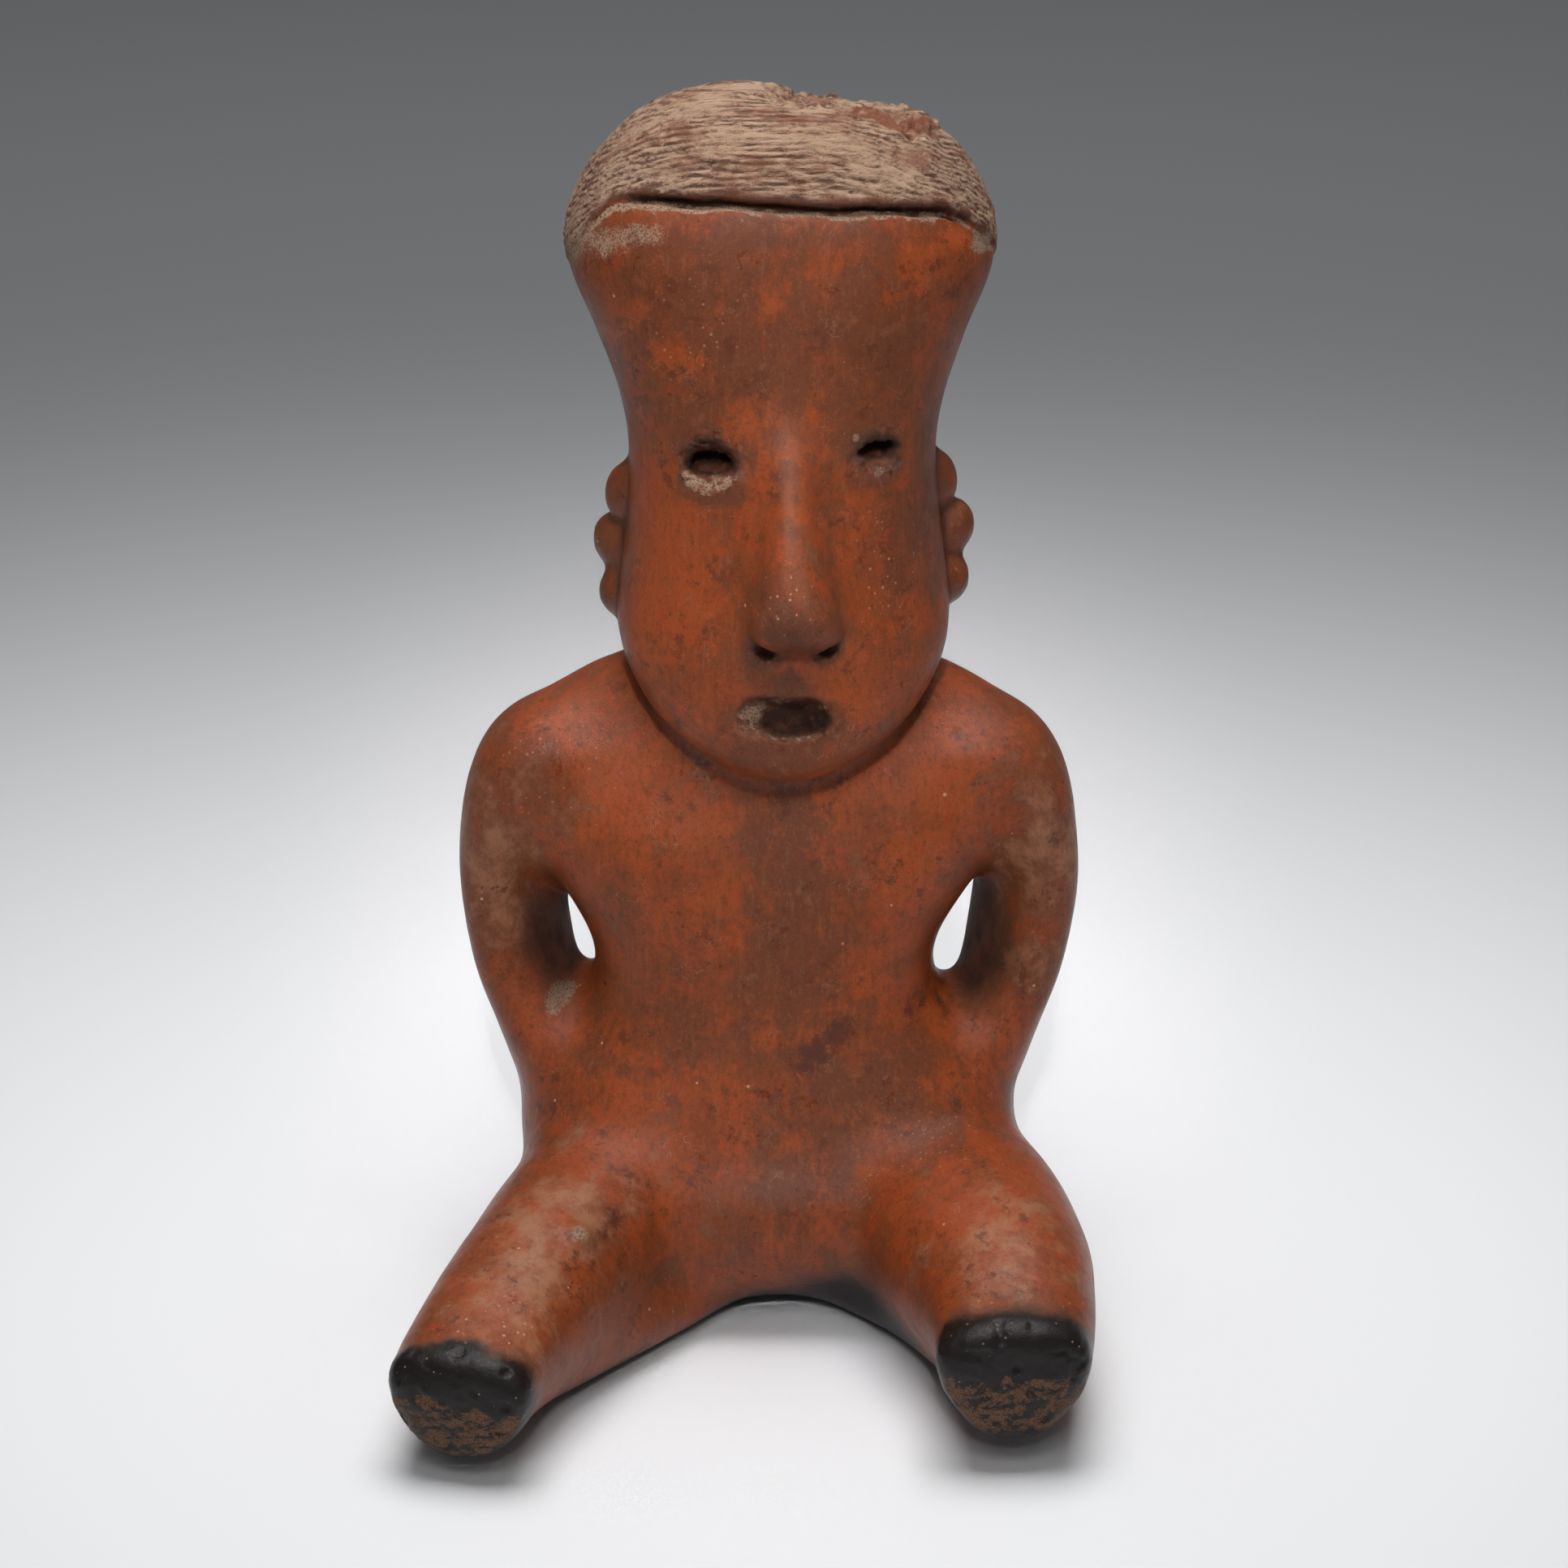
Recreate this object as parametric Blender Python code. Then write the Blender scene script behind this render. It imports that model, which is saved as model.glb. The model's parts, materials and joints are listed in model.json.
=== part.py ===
"""A seated earthenware figure, hand-built and fired in one piece, with a tall flaring head.

Millimetres here, scaled to metres when a mesh is made. +Z is up and the figure faces -Y. The origin is the
middle of the flat underside that it sits on.
"""

from dataclasses import dataclass, fields
import math

import bmesh
import bpy
from mathutils import Matrix, Vector

MM = 0.001

# Burnished red-orange slip over brown clay.
CLAY_COLOUR = (0.40, 0.115, 0.045, 1.0)
CLAY_ROUGHNESS = 0.42

# Driving sizes of the whole figure.
CROWN = 280.5
HEAD_HALF_WIDTH = 46.8
HIP_HALF_WIDTH = 58.0

# How the head sits: a little to the figure's left, and turned that way.
HEAD_SHIFT = 3.4
HEAD_TURN = math.radians(3.0)

# How much nearer the middle the right arm hangs than the left.
RIGHT_ARM_INWARD = 1.0

RING_POINTS = 40
STEPS_BETWEEN = 5
COARSE_VOXEL = 2.4
FINE_VOXEL = 1.5
DETAIL_VOXEL = 1.0
PELLET_VOXEL = 0.8
TRIANGLE_SHARE = 0.03


@dataclass(frozen=True)
class Slice:
    """A level slice through a mass: its height, and how far it reaches to each side, front and back."""

    height: float
    half_width: float
    front: float
    back: float
    squareness: float = 2.2
    shift: float = 0.0


@dataclass(frozen=True)
class Girth:
    """A point on a limb's middle line, and the clay around it."""

    x: float
    y: float
    z: float
    half_width: float
    half_height: float
    narrowing: float = 0.0
    roll: float = 0.0
    squareness: float = 2.0


@dataclass(frozen=True)
class Lump:
    """An egg-shaped bit of clay, or of clay taken away: its middle, half sizes and tilt in the front view."""

    x: float
    y: float
    z: float
    half_x: float
    half_y: float
    half_z: float
    tilt: float = 0.0


HEAD = (
    Slice(CROWN, 4, -4, 4),
    Slice(279, 21, -14, 16),
    Slice(273.5, 32, -22, 25),
    Slice(262, 42, -28, 31, 2.4),
    Slice(247, HEAD_HALF_WIDTH, -31, 35, 2.5),
    Slice(229, 39.8, -33, 35, 2.5),
    Slice(212, 34.4, -34.5, 31, 2.5),
    Slice(195, 33.7, -36.5, 26, 2.4),
    Slice(176, 36, -38.5, 21),
    Slice(165, 37.2, -40, 18),
    Slice(156, 34.5, -40.5, 12),
    Slice(147, 28, -40.5, -2),
    Slice(139, 18, -38.5, -10),
    Slice(133.5, 8, -33, -15),
)
NECK = (
    Slice(172, 24, -14, 16),
    Slice(158, 27, -18, 18),
    Slice(140, 32, -22, 20),
    Slice(128, 30, -23, 20),
)
TORSO = (
    Slice(153.5, 20, -10, 18),
    Slice(149.5, 39.2, -13, 19.5, 2.2, 0.9),
    Slice(143.5, 50, -16, 21.5, 2.2, 1.2),
    Slice(134, 56.5, -20, 23, 2.4, 1.2),
    Slice(122, 55.3, -24, 23, 2.8, 0.8),
    Slice(112, 52.5, -26.5, 22, 2.8),
    Slice(104, 49.5, -28, 21.5, 2.6),
    Slice(95, 44.6, -29, 21, 2.3, -0.5),
    Slice(86, 40.1, -30, 21, 2.2, -0.6),
    Slice(76, 39.4, -31.5, 22, 2.2, -0.6),
    Slice(68.5, 43.5, -33, 23, 2.3, -0.5),
    Slice(60, 50.5, -35.5, 25, 2.5),
    Slice(48, 57, -39, 29, 2.6),
    Slice(36, HIP_HALF_WIDTH, -43, 32, 2.5),
    Slice(20, 54, -46, 34),
    Slice(8, 50, -36, 34),
    Slice(-3, 42, -18, 28),
)
ARM = (
    Girth(41, 0, 134, 12.3, 17),
    Girth(55, 0, 126.5, 12.7, 19, 0, -0.15, 2.2),
    Girth(59.4, 1, 112, 10.5, 18.5, 0, -0.35, 2.3),
    Girth(60.3, 2, 98, 9.1, 18, 0, -0.45, 2.3),
    Girth(58.7, 1, 86, 9, 18, 0, -0.45, 2.3),
    Girth(56.9, 0, 76, 9, 18, 0, -0.42, 2.3),
    Girth(54.4, -2, 67, 9.4, 17, 0, -0.3, 2.2),
    Girth(50.5, -5, 57, 11, 16, 0, -0.1),
    Girth(44, -9, 46, 11, 14),
)
LEFT_LEG = (
    Girth(22, 8, 24, 29, 24),
    Girth(33.5, -14, 25.5, 26, 23.5),
    Girth(43.5, -35, 26.5, 25.5, 23.2),
    Girth(51, -58, 25.5, 23.3, 22),
    Girth(54, -76, 23.3, 19.3, 19.3, 0.1, 0, 2.2),
    Girth(54, -90, 21.5, 17.0, 15.8, 0.3, 0, 2.2),
    Girth(53.3, -100, 21.5, 17.0, 16, 0.45, 0, 2.3),
    Girth(53, -110, 21.5, 17.0, 16.5, 0.45, 0, 2.3),
)
RIGHT_LEG = (
    Girth(-22, 8, 24, 29, 24),
    Girth(-32.5, -16, 25, 22.8, 23),
    Girth(-43.2, -40, 24.5, 21.5, 22),
    Girth(-54, -64, 21.8, 19.5, 19.6),
    Girth(-61.2, -83, 19.5, 17.5, 16.3, 0.1, 0, 2.2),
    Girth(-64.5, -94, 18, 16.4, 14.4, 0.3, 0, 2.2),
    Girth(-66, -103, 17.5, 16.4, 14.6, 0.45, 0, 2.3),
    Girth(-68, -113, 17.5, 16.4, 15, 0.45, 0, 2.3),
)
LEFT_UNDERSIDE = (
    Girth(10, -14, 9, 14, 10),
    Girth(30, -36, 9, 12, 9),
    Girth(41, -54, 10, 10, 9),
    Girth(46, -68, 11.5, 9, 9),
)
RIGHT_UNDERSIDE = (
    Girth(-8, -14, 9, 14, 10),
    Girth(-24, -36, 9, 13.5, 9.5),
    Girth(-38.5, -56, 10, 11.5, 9.5),
    Girth(-51.5, -74, 11.5, 9.5, 9),
    Girth(-60.5, -90, 13, 8, 8),
)
NOSE = (
    Slice(221, 3.5, -33, -24, 2),
    Slice(213, 4.4, -37, -28, 2),
    Slice(198, 5.8, -44, -30, 2),
    Slice(184, 8, -49.5, -32, 2, 0.3),
    Slice(176.5, 10.6, -52, -34, 2.1, 1),
    Slice(172, 10.8, -50, -34, 2.2, 1),
    Slice(168.5, 7, -44.5, -34, 2.2, 1),
)
PELLETS = (
    Lump(-34.8, -3, 192.5, 4.4, 5.5, 6.8, 0.15),
    Lump(-37.0, 1, 180.2, 5.3, 6.5, 6.4),
    Lump(-36.2, -2, 168.5, 5.0, 6, 6.0, -0.3),
    Lump(34.9, -1, 194, 4.2, 5.5, 6.6, -0.2),
    Lump(38.2, 2, 181.8, 5.3, 6.5, 6.4),
    Lump(37.2, -1, 170, 5.0, 6, 6.2, 0.3),
)
EYES = (
    Lump(-18, -33, 208.8, 7.8, 2.8, 6.4),
    Lump(-17, -32, 207.9, 5.8, 6.5, 3.4, 0.08),
    Lump(19.3, -32.5, 210.4, 5.8, 2.4, 4.8),
    Lump(19.5, -31.5, 210, 4.4, 6, 2.5, -0.15),
)
MOUTH = (
    Lump(-6.8, -39.5, 153.1, 5.6, 5, 4.4),
    Lump(-2, -39.5, 152.5, 8, 5, 4.4),
    Lump(2.8, -39.5, 152.3, 5.6, 5.5, 4.4),
)
NOSTRILS = (
    Lump(-6.2, -43, 168, 3, 3.4, 2.4, 0.5),
    Lump(8.2, -42.5, 168.2, 2.8, 3.2, 2.2, -0.5),
)
LAP = (
    Lump(2, -28, 29, 46, 20, 18),
    Lump(-33, -24, 38, 22, 22, 13),
    Lump(35, -24, 39, 22, 23, 13),
)

# The line under the hair, as places across the head and heights.
HAIR_LINE = ((-37, 260.5), (-30, 261.8), (-10, 262.2), (3, 261.2), (23, 260), (34, 258.5), (42, 253.5))
GROOVE_HALF_WIDTH = 1.0
GROOVE_DEPTH = 2.2

# Where the crown has broken away: places on the plan, and how far the break dips there.
BREAK_EDGE = (
    (-3, -5, 0.4), (1, -11, 0.2), (8, -9, -0.3), (13, -14, 0.1), (19, -12, -0.4), (26, -14, -1.6),
    (32, -9, -2.8), (36, 0, -4), (36, 12, -4.6), (31, 22, -4.4), (22, 29, -3.6), (13, 31, -3), (6, 30, -2.4),
    (1, 22, -1), (-6, 15, 0.3), (-3, 5, 0.2),
)
BREAK_HEIGHT = 276.4

# The planes that the soles lie in: a point, and which way each faces.
SOLES = (((53.5, -101, 20), (0.05, -1, 0)), ((-65.5, -104.5, 18), (-0.22, -1, 0)))


def clear_scene():
    """Remove whatever the scene holds."""
    for obj in list(bpy.data.objects):
        bpy.data.objects.remove(obj, do_unlink=True)


def between(before, start, end, after, share):
    """A smooth value between start and end, in a curve that also knows its two outer neighbours."""
    slope_in = (end - before) / 2
    slope_out = (after - start) / 2
    square, cube = share * share, share**3
    return (
        (2 * cube - 3 * square + 1) * start
        + (cube - 2 * square + share) * slope_in
        + (3 * square - 2 * cube) * end
        + (cube - square) * slope_out
    )


def smooth_run(stations, steps=STEPS_BETWEEN):
    """The stations with smooth ones put in between them."""
    last = len(stations) - 1
    kind = type(stations[0])
    run = []
    for i in range(last):
        four = [stations[max(0, min(last, i + k))] for k in (-1, 0, 1, 2)]
        for step in range(steps):
            values = [
                between(*(getattr(s, f.name) for s in four), step / steps) for f in fields(kind)
            ]
            run.append(kind(*values))
    return run + [stations[last]]


def round_sign(value, power):
    """value to a power below one, with its sign kept."""
    return math.copysign(abs(value) ** power, value)


def slice_ring(cut):
    """Points around a slice, counter-clockwise from above."""
    power = 2 / cut.squareness
    middle = (cut.front + cut.back) / 2
    depth = (cut.back - cut.front) / 2
    ring = []
    for i in range(RING_POINTS):
        angle = math.tau * i / RING_POINTS
        x = cut.shift + cut.half_width * round_sign(math.cos(angle), power)
        y = middle + depth * round_sign(math.sin(angle), power)
        ring.append(Vector((x, y, cut.height)))
    return ring


def limb_ring(girth, along, upright):
    """Points around a limb's middle line, square to the line."""
    if upright:
        across = (Vector((1, 0, 0)) - along * along.x).normalized()
        other = along.cross(across)
    else:
        other = (Vector((0, 0, 1)) - along * along.z).normalized()
        across = other.cross(along)
    turn = Matrix.Rotation(girth.roll, 3, along)
    middle = Vector((girth.x, girth.y, girth.z))
    power = 2 / girth.squareness
    ring = []
    for i in range(RING_POINTS):
        angle = math.tau * i / RING_POINTS
        width = girth.half_width * (1 + girth.narrowing * math.sin(angle))
        out = across * width * round_sign(math.cos(angle), power)
        out += other * girth.half_height * round_sign(math.sin(angle), power)
        ring.append(middle + turn @ out)
    return ring


def limb_rings(stations):
    """The rings of a limb."""
    run = smooth_run(stations)
    points = [Vector((g.x, g.y, g.z)) for g in run]
    whole = points[-1] - points[0]
    upright = abs(whole.z) > max(abs(whole.x), abs(whole.y))
    rings = []
    for i, girth in enumerate(run):
        along = (points[min(i + 1, len(run) - 1)] - points[max(i - 1, 0)]).normalized()
        rings.append(limb_ring(girth, along, upright))
    return rings


def mass_rings(stations):
    """The rings of a mass that is given by level slices."""
    return [slice_ring(cut) for cut in smooth_run(stations)]


def mirrored(stations, inward):
    """The same limb on the other side, and that much nearer the middle."""
    return [
        Girth(inward - g.x, g.y, g.z, g.half_width, g.half_height, g.narrowing, -g.roll, g.squareness)
        for g in stations
    ]


def add_skin(mesh, rings):
    """Close the rings into one skin in the mesh, capped at both ends."""
    loops = [[mesh.verts.new(p * MM) for p in ring] for ring in rings]
    for low, high in zip(loops, loops[1:]):
        for i in range(len(low)):
            j = (i + 1) % len(low)
            mesh.faces.new((low[i], low[j], high[j], high[i]))
    mesh.faces.new(loops[0])
    mesh.faces.new(loops[-1])


def add_lumps(mesh, lumps):
    """Add egg shapes to the mesh."""
    for lump in lumps:
        place = Matrix.Translation(Vector((lump.x, lump.y, lump.z)) * MM)
        place @= Matrix.Rotation(lump.tilt, 4, "Y")
        place @= Matrix.Diagonal((lump.half_x * MM, lump.half_y * MM, lump.half_z * MM, 1))
        bmesh.ops.create_icosphere(mesh, subdivisions=3, radius=1, matrix=place)


def as_object(name, mesh, place):
    """Make the mesh an object, with its faces pointing out."""
    bmesh.ops.recalc_face_normals(mesh, faces=mesh.faces)
    data = bpy.data.meshes.new(name)
    mesh.to_mesh(data)
    mesh.free()
    obj = bpy.data.objects.new(name, data)
    obj.matrix_world = place
    bpy.context.collection.objects.link(obj)
    return obj


def helper(obj):
    """Mark an object as one that only shapes another."""
    obj.hide_render = True
    obj.display_type = "WIRE"
    return obj


def head_place():
    """Where the head stands on the shoulders."""
    return Matrix.Translation((HEAD_SHIFT * MM, 0, 0)) @ Matrix.Rotation(HEAD_TURN, 4, "Z")


def remesh(obj, voxel, smoothings):
    """Join all skins of an object into one, and blend them."""
    join = obj.modifiers.new("Join", "REMESH")
    join.mode = "VOXEL"
    join.voxel_size = voxel * MM
    join.use_smooth_shade = True
    blend = obj.modifiers.new("Blend", "SMOOTH")
    blend.factor = 0.5
    blend.iterations = smoothings


def shape_with(obj, operation, other):
    """Add another object to this one, or take it away."""
    cut = obj.modifiers.new(other.name, "BOOLEAN")
    cut.operation = operation
    cut.object = helper(other)
    cut.solver = "EXACT"


def make_body():
    """The trunk, neck, arms and legs."""
    mesh = bmesh.new()
    add_skin(mesh, mass_rings(NECK))
    add_skin(mesh, mass_rings(TORSO))
    for limb in (LEFT_LEG, LEFT_UNDERSIDE, RIGHT_LEG, RIGHT_UNDERSIDE):
        add_skin(mesh, limb_rings(limb))
    add_skin(mesh, limb_rings(ARM))
    add_skin(mesh, limb_rings(mirrored(ARM, RIGHT_ARM_INWARD)))
    add_lumps(mesh, LAP)
    return as_object("figure", mesh, Matrix.Identity(4))


def make_head():
    """The head with its nose."""
    mesh = bmesh.new()
    add_skin(mesh, mass_rings(HEAD))
    add_skin(mesh, mass_rings(NOSE))
    head = as_object("head", mesh, head_place())
    remesh(head, FINE_VOXEL, 9)
    return head


def make_lumps(name, lumps):
    """Egg shapes that stand with the head."""
    mesh = bmesh.new()
    add_lumps(mesh, lumps)
    return as_object(name, mesh, head_place())


def front_of_head(x, height):
    """How far forward the head's front is at a place."""
    run = smooth_run(HEAD)
    above = max(i for i, cut in enumerate(run) if cut.height >= height)
    high, low = run[above], run[above + 1]
    share = (high.height - height) / (high.height - low.height)
    half_width, front, back, squareness = (
        getattr(high, name) * (1 - share) + getattr(low, name) * share
        for name in ("half_width", "front", "back", "squareness")
    )
    reach = max(0, 1 - abs(x / half_width) ** squareness) ** (1 / squareness)
    return (front + back) / 2 - (back - front) / 2 * reach


def make_groove():
    """The line under the hair, to be cut into the head."""
    last = len(HAIR_LINE) - 1
    line = [
        Girth(
            x,
            front_of_head(x, z),
            z,
            GROOVE_DEPTH * (0.3 if i in (0, last) else 1),
            GROOVE_HALF_WIDTH * (0.5 if i in (0, last) else 1),
        )
        for i, (x, z) in enumerate(HAIR_LINE)
    ]
    mesh = bmesh.new()
    add_skin(mesh, limb_rings(line))
    return as_object("groove", mesh, head_place())


def make_break():
    """The clay that the crown has lost."""
    mesh = bmesh.new()
    rings = [
        [Vector((x * out, y * out, BREAK_HEIGHT + dip + rise)) for x, y, dip in BREAK_EDGE]
        for rise, out in ((0.4, 0.4), (0, 0.8), (3, 1), (14, 1.3))
    ]
    add_skin(mesh, rings)
    return as_object("crown break", mesh, head_place())


def make_sole(point, facing):
    """The clay beyond a sole, to be taken away."""
    turn = Vector(facing).to_track_quat("Z", "Y").to_matrix().to_4x4()
    mesh = bmesh.new()
    bmesh.ops.create_cube(mesh, size=0.06, matrix=Matrix.Translation((0, 0, 0.03)))
    return as_object("sole", mesh, Matrix.Translation(Vector(point) * MM) @ turn)


def make_ground():
    """The clay below the flat seat, to be taken away."""
    mesh = bmesh.new()
    bmesh.ops.create_cube(mesh, size=0.4, matrix=Matrix.Translation((0, 0, -0.2)))
    return as_object("ground", mesh, Matrix.Identity(4))


def earthenware():
    """Burnished, slipped and fired clay."""
    material = bpy.data.materials.new("earthenware")
    material.use_nodes = True
    shader = material.node_tree.nodes["Principled BSDF"]
    shader.inputs["Base Color"].default_value = CLAY_COLOUR
    shader.inputs["Roughness"].default_value = CLAY_ROUGHNESS
    shader.inputs["Metallic"].default_value = 0.0
    return material


def build():
    """Make the figure."""
    clear_scene()
    figure = make_body()
    figure.data.materials.append(earthenware())
    remesh(figure, COARSE_VOXEL, 15)
    for point, facing in SOLES:
        shape_with(figure, "DIFFERENCE", make_sole(point, facing))
    shape_with(figure, "UNION", make_head())
    remesh(figure, FINE_VOXEL, 5)
    pellets = make_lumps("ear pellets", PELLETS)
    remesh(pellets, PELLET_VOXEL, 2)
    shape_with(figure, "UNION", pellets)
    cuts = make_lumps("slots", EYES + MOUTH + NOSTRILS)
    remesh(cuts, PELLET_VOXEL, 2)
    shape_with(figure, "DIFFERENCE", cuts)
    remesh(figure, DETAIL_VOXEL, 1)
    shape_with(figure, "DIFFERENCE", make_groove())
    shape_with(figure, "DIFFERENCE", make_break())
    thin = figure.modifiers.new("Fewer triangles", "DECIMATE")
    thin.ratio = TRIANGLE_SHARE
    shape_with(figure, "DIFFERENCE", make_ground())


build()
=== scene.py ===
"""A seated figure of burnished, red-slipped earthenware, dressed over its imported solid.

Lengths are in millimetres here and turn into metres where a mesh is made. +Z is up, the figure faces -Y and
its own left side is +X. The origin is the middle of the flat underside that it sits on.
"""

from dataclasses import dataclass, field  # noqa: E402
from enum import Enum  # noqa: E402
import itertools  # noqa: E402
import json  # noqa: E402
import logging  # noqa: E402
import math  # noqa: E402
from typing import Any  # noqa: E402

import bpy  # noqa: E402
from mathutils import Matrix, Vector  # noqa: E402
import numpy as np  # noqa: E402

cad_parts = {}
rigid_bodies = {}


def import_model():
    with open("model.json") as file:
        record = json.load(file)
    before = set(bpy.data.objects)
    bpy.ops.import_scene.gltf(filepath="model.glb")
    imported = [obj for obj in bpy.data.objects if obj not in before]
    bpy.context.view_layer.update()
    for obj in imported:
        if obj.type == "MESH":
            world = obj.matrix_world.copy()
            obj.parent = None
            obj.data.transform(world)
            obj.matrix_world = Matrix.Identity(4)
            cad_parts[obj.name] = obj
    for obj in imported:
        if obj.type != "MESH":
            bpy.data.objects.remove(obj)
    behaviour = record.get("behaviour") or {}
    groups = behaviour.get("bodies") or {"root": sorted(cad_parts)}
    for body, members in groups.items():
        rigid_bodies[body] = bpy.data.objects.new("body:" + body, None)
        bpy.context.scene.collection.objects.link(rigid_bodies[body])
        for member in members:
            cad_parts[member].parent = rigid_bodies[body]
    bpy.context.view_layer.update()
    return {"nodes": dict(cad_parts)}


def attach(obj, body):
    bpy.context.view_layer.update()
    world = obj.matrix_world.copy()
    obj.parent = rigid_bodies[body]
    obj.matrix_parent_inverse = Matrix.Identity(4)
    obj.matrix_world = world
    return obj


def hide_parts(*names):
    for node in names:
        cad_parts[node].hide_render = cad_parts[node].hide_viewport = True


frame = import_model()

MM = 0.001
SOLID = "figure"
PIECE = "seated_figure_clay"
BODY = "root"
Triple = tuple[float, float, float]
PELLET_REACH: Triple = (5.5, 6.5, 6.5)

log = logging.getLogger("figure")


class Trace(Enum):
    """What time and fire have left on the clay, and the shade painted onto it, each kept on the mesh as a value from 0
    to 1.
    """

    HAIR = "hair"
    STRAND = "strand"
    CRUST = "crust"
    # Soot, and painted shade on the undersides near the floor and in the arms' gaps.
    SOOT_AND_SHADE = "soot"
    # Near-black painted shade in holes, slits, creases and recesses, and dark dirt.
    SHADE_AND_DIRT = "hollow"
    WORN = "worn"
    # Brownish fire clouds, and painted shade in recesses, round the cut holes and under the nose.
    DULL_AND_SHADE = "dull"
    BRIGHT = "bright"
    PALE = "pale"
    STAIN = "stain"
    BREAK = "break"
    GRIT = "grit"


def linear(code: str) -> tuple[float, float, float, float]:
    """Turn an sRGB hex colour into linear light.

    Args:
        code: The colour, as "#rrggbb".

    Returns:
        Red, green, blue and an alpha of 1.
    """
    parts = [int(code[i : i + 2], 16) / 255 for i in (1, 3, 5)]
    red, green, blue = (p / 12.92 if p <= 0.04045 else ((p + 0.055) / 1.055) ** 2.4 for p in parts)
    return red, green, blue, 1.0


def ramp(low: float, high: float, value: np.ndarray) -> np.ndarray:
    """Ease from 0 at low to 1 at high.

    Args:
        low: Where the ramp starts. It may be above high, for a falling ramp.
        high: Where it ends.
        value: The values to ease.

    Returns:
        The eased share of each value.
    """
    share = np.clip((value - low) / (high - low), 0.0, 1.0)
    return share * share * (3.0 - 2.0 * share)


def cloud(points: np.ndarray, grain: float, seed: int, layers: int = 1) -> np.ndarray:
    """Give a smooth random field.

    Args:
        points: Points in millimetres, one row each.
        grain: The length over which the field changes.
        seed: Which field it is.
        layers: How many finer fields are added, each half the size and half the strength of the last.

    Returns:
        A value for each point, about -1 to 1.
    """
    total = np.zeros(len(points))
    for layer in range(layers):
        cell = points * (2**layer / grain) + 517.3
        low = np.floor(cell).astype(np.int64)
        part = cell - low
        ease = part * part * part * (part * (part * 6.0 - 15.0) + 10.0)
        for corner in itertools.product((0, 1), repeat=3):
            at = low + np.array(corner)
            key = at[:, 0] * 73856093 ^ at[:, 1] * 19349663 ^ at[:, 2] * 83492791 ^ (seed + layer) * 2654435761
            key = (key ^ (key >> 13)) * 1274126177 & 0x7FFFFFFF
            height = ((key ^ (key >> 15)) & 0xFFFF) / 32767.5 - 1.0
            weight = np.prod(np.where(np.array(corner) > 0, ease, 1.0 - ease), axis=1)
            total += height * weight / 2**layer
    return total


def away_from(points: np.ndarray, middle: Triple, sizes: Triple) -> np.ndarray:
    """Measure how far points are from an egg shape's middle, as a share of its half sizes.

    Args:
        points: Points in millimetres.
        middle: The egg's middle.
        sizes: Its half sizes.

    Returns:
        0 at the middle and 1 on the egg's skin.
    """
    return np.linalg.norm((points - np.array(middle)) / np.array(sizes), axis=1)


def dab(points: np.ndarray, middle: Triple, sizes: Triple) -> np.ndarray:
    """Give a soft round patch that is 1 at its middle and fades out past its half sizes.

    Args:
        points: Points in millimetres.
        middle: The patch's middle.
        sizes: Half sizes, where the patch has faded to a third.

    Returns:
        The patch's strength at each point.
    """
    return np.exp(-away_from(points, middle, sizes) ** 2)


def along_path(points: np.ndarray, path: tuple[Triple, ...]) -> np.ndarray:
    """Measure the distance from points to a bent line.

    Args:
        points: Points in millimetres.
        path: The line's corners.

    Returns:
        The distance of each point, in millimetres.
    """
    nearest = np.full(len(points), 1e9)
    for start, end in zip(path, path[1:]):
        a, run = np.array(start), np.array(end) - np.array(start)
        share = np.clip((points - a) @ run / (run @ run), 0.0, 1.0)
        nearest = np.minimum(nearest, np.linalg.norm(points - a - share[:, None] * run, axis=1))
    return nearest


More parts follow.
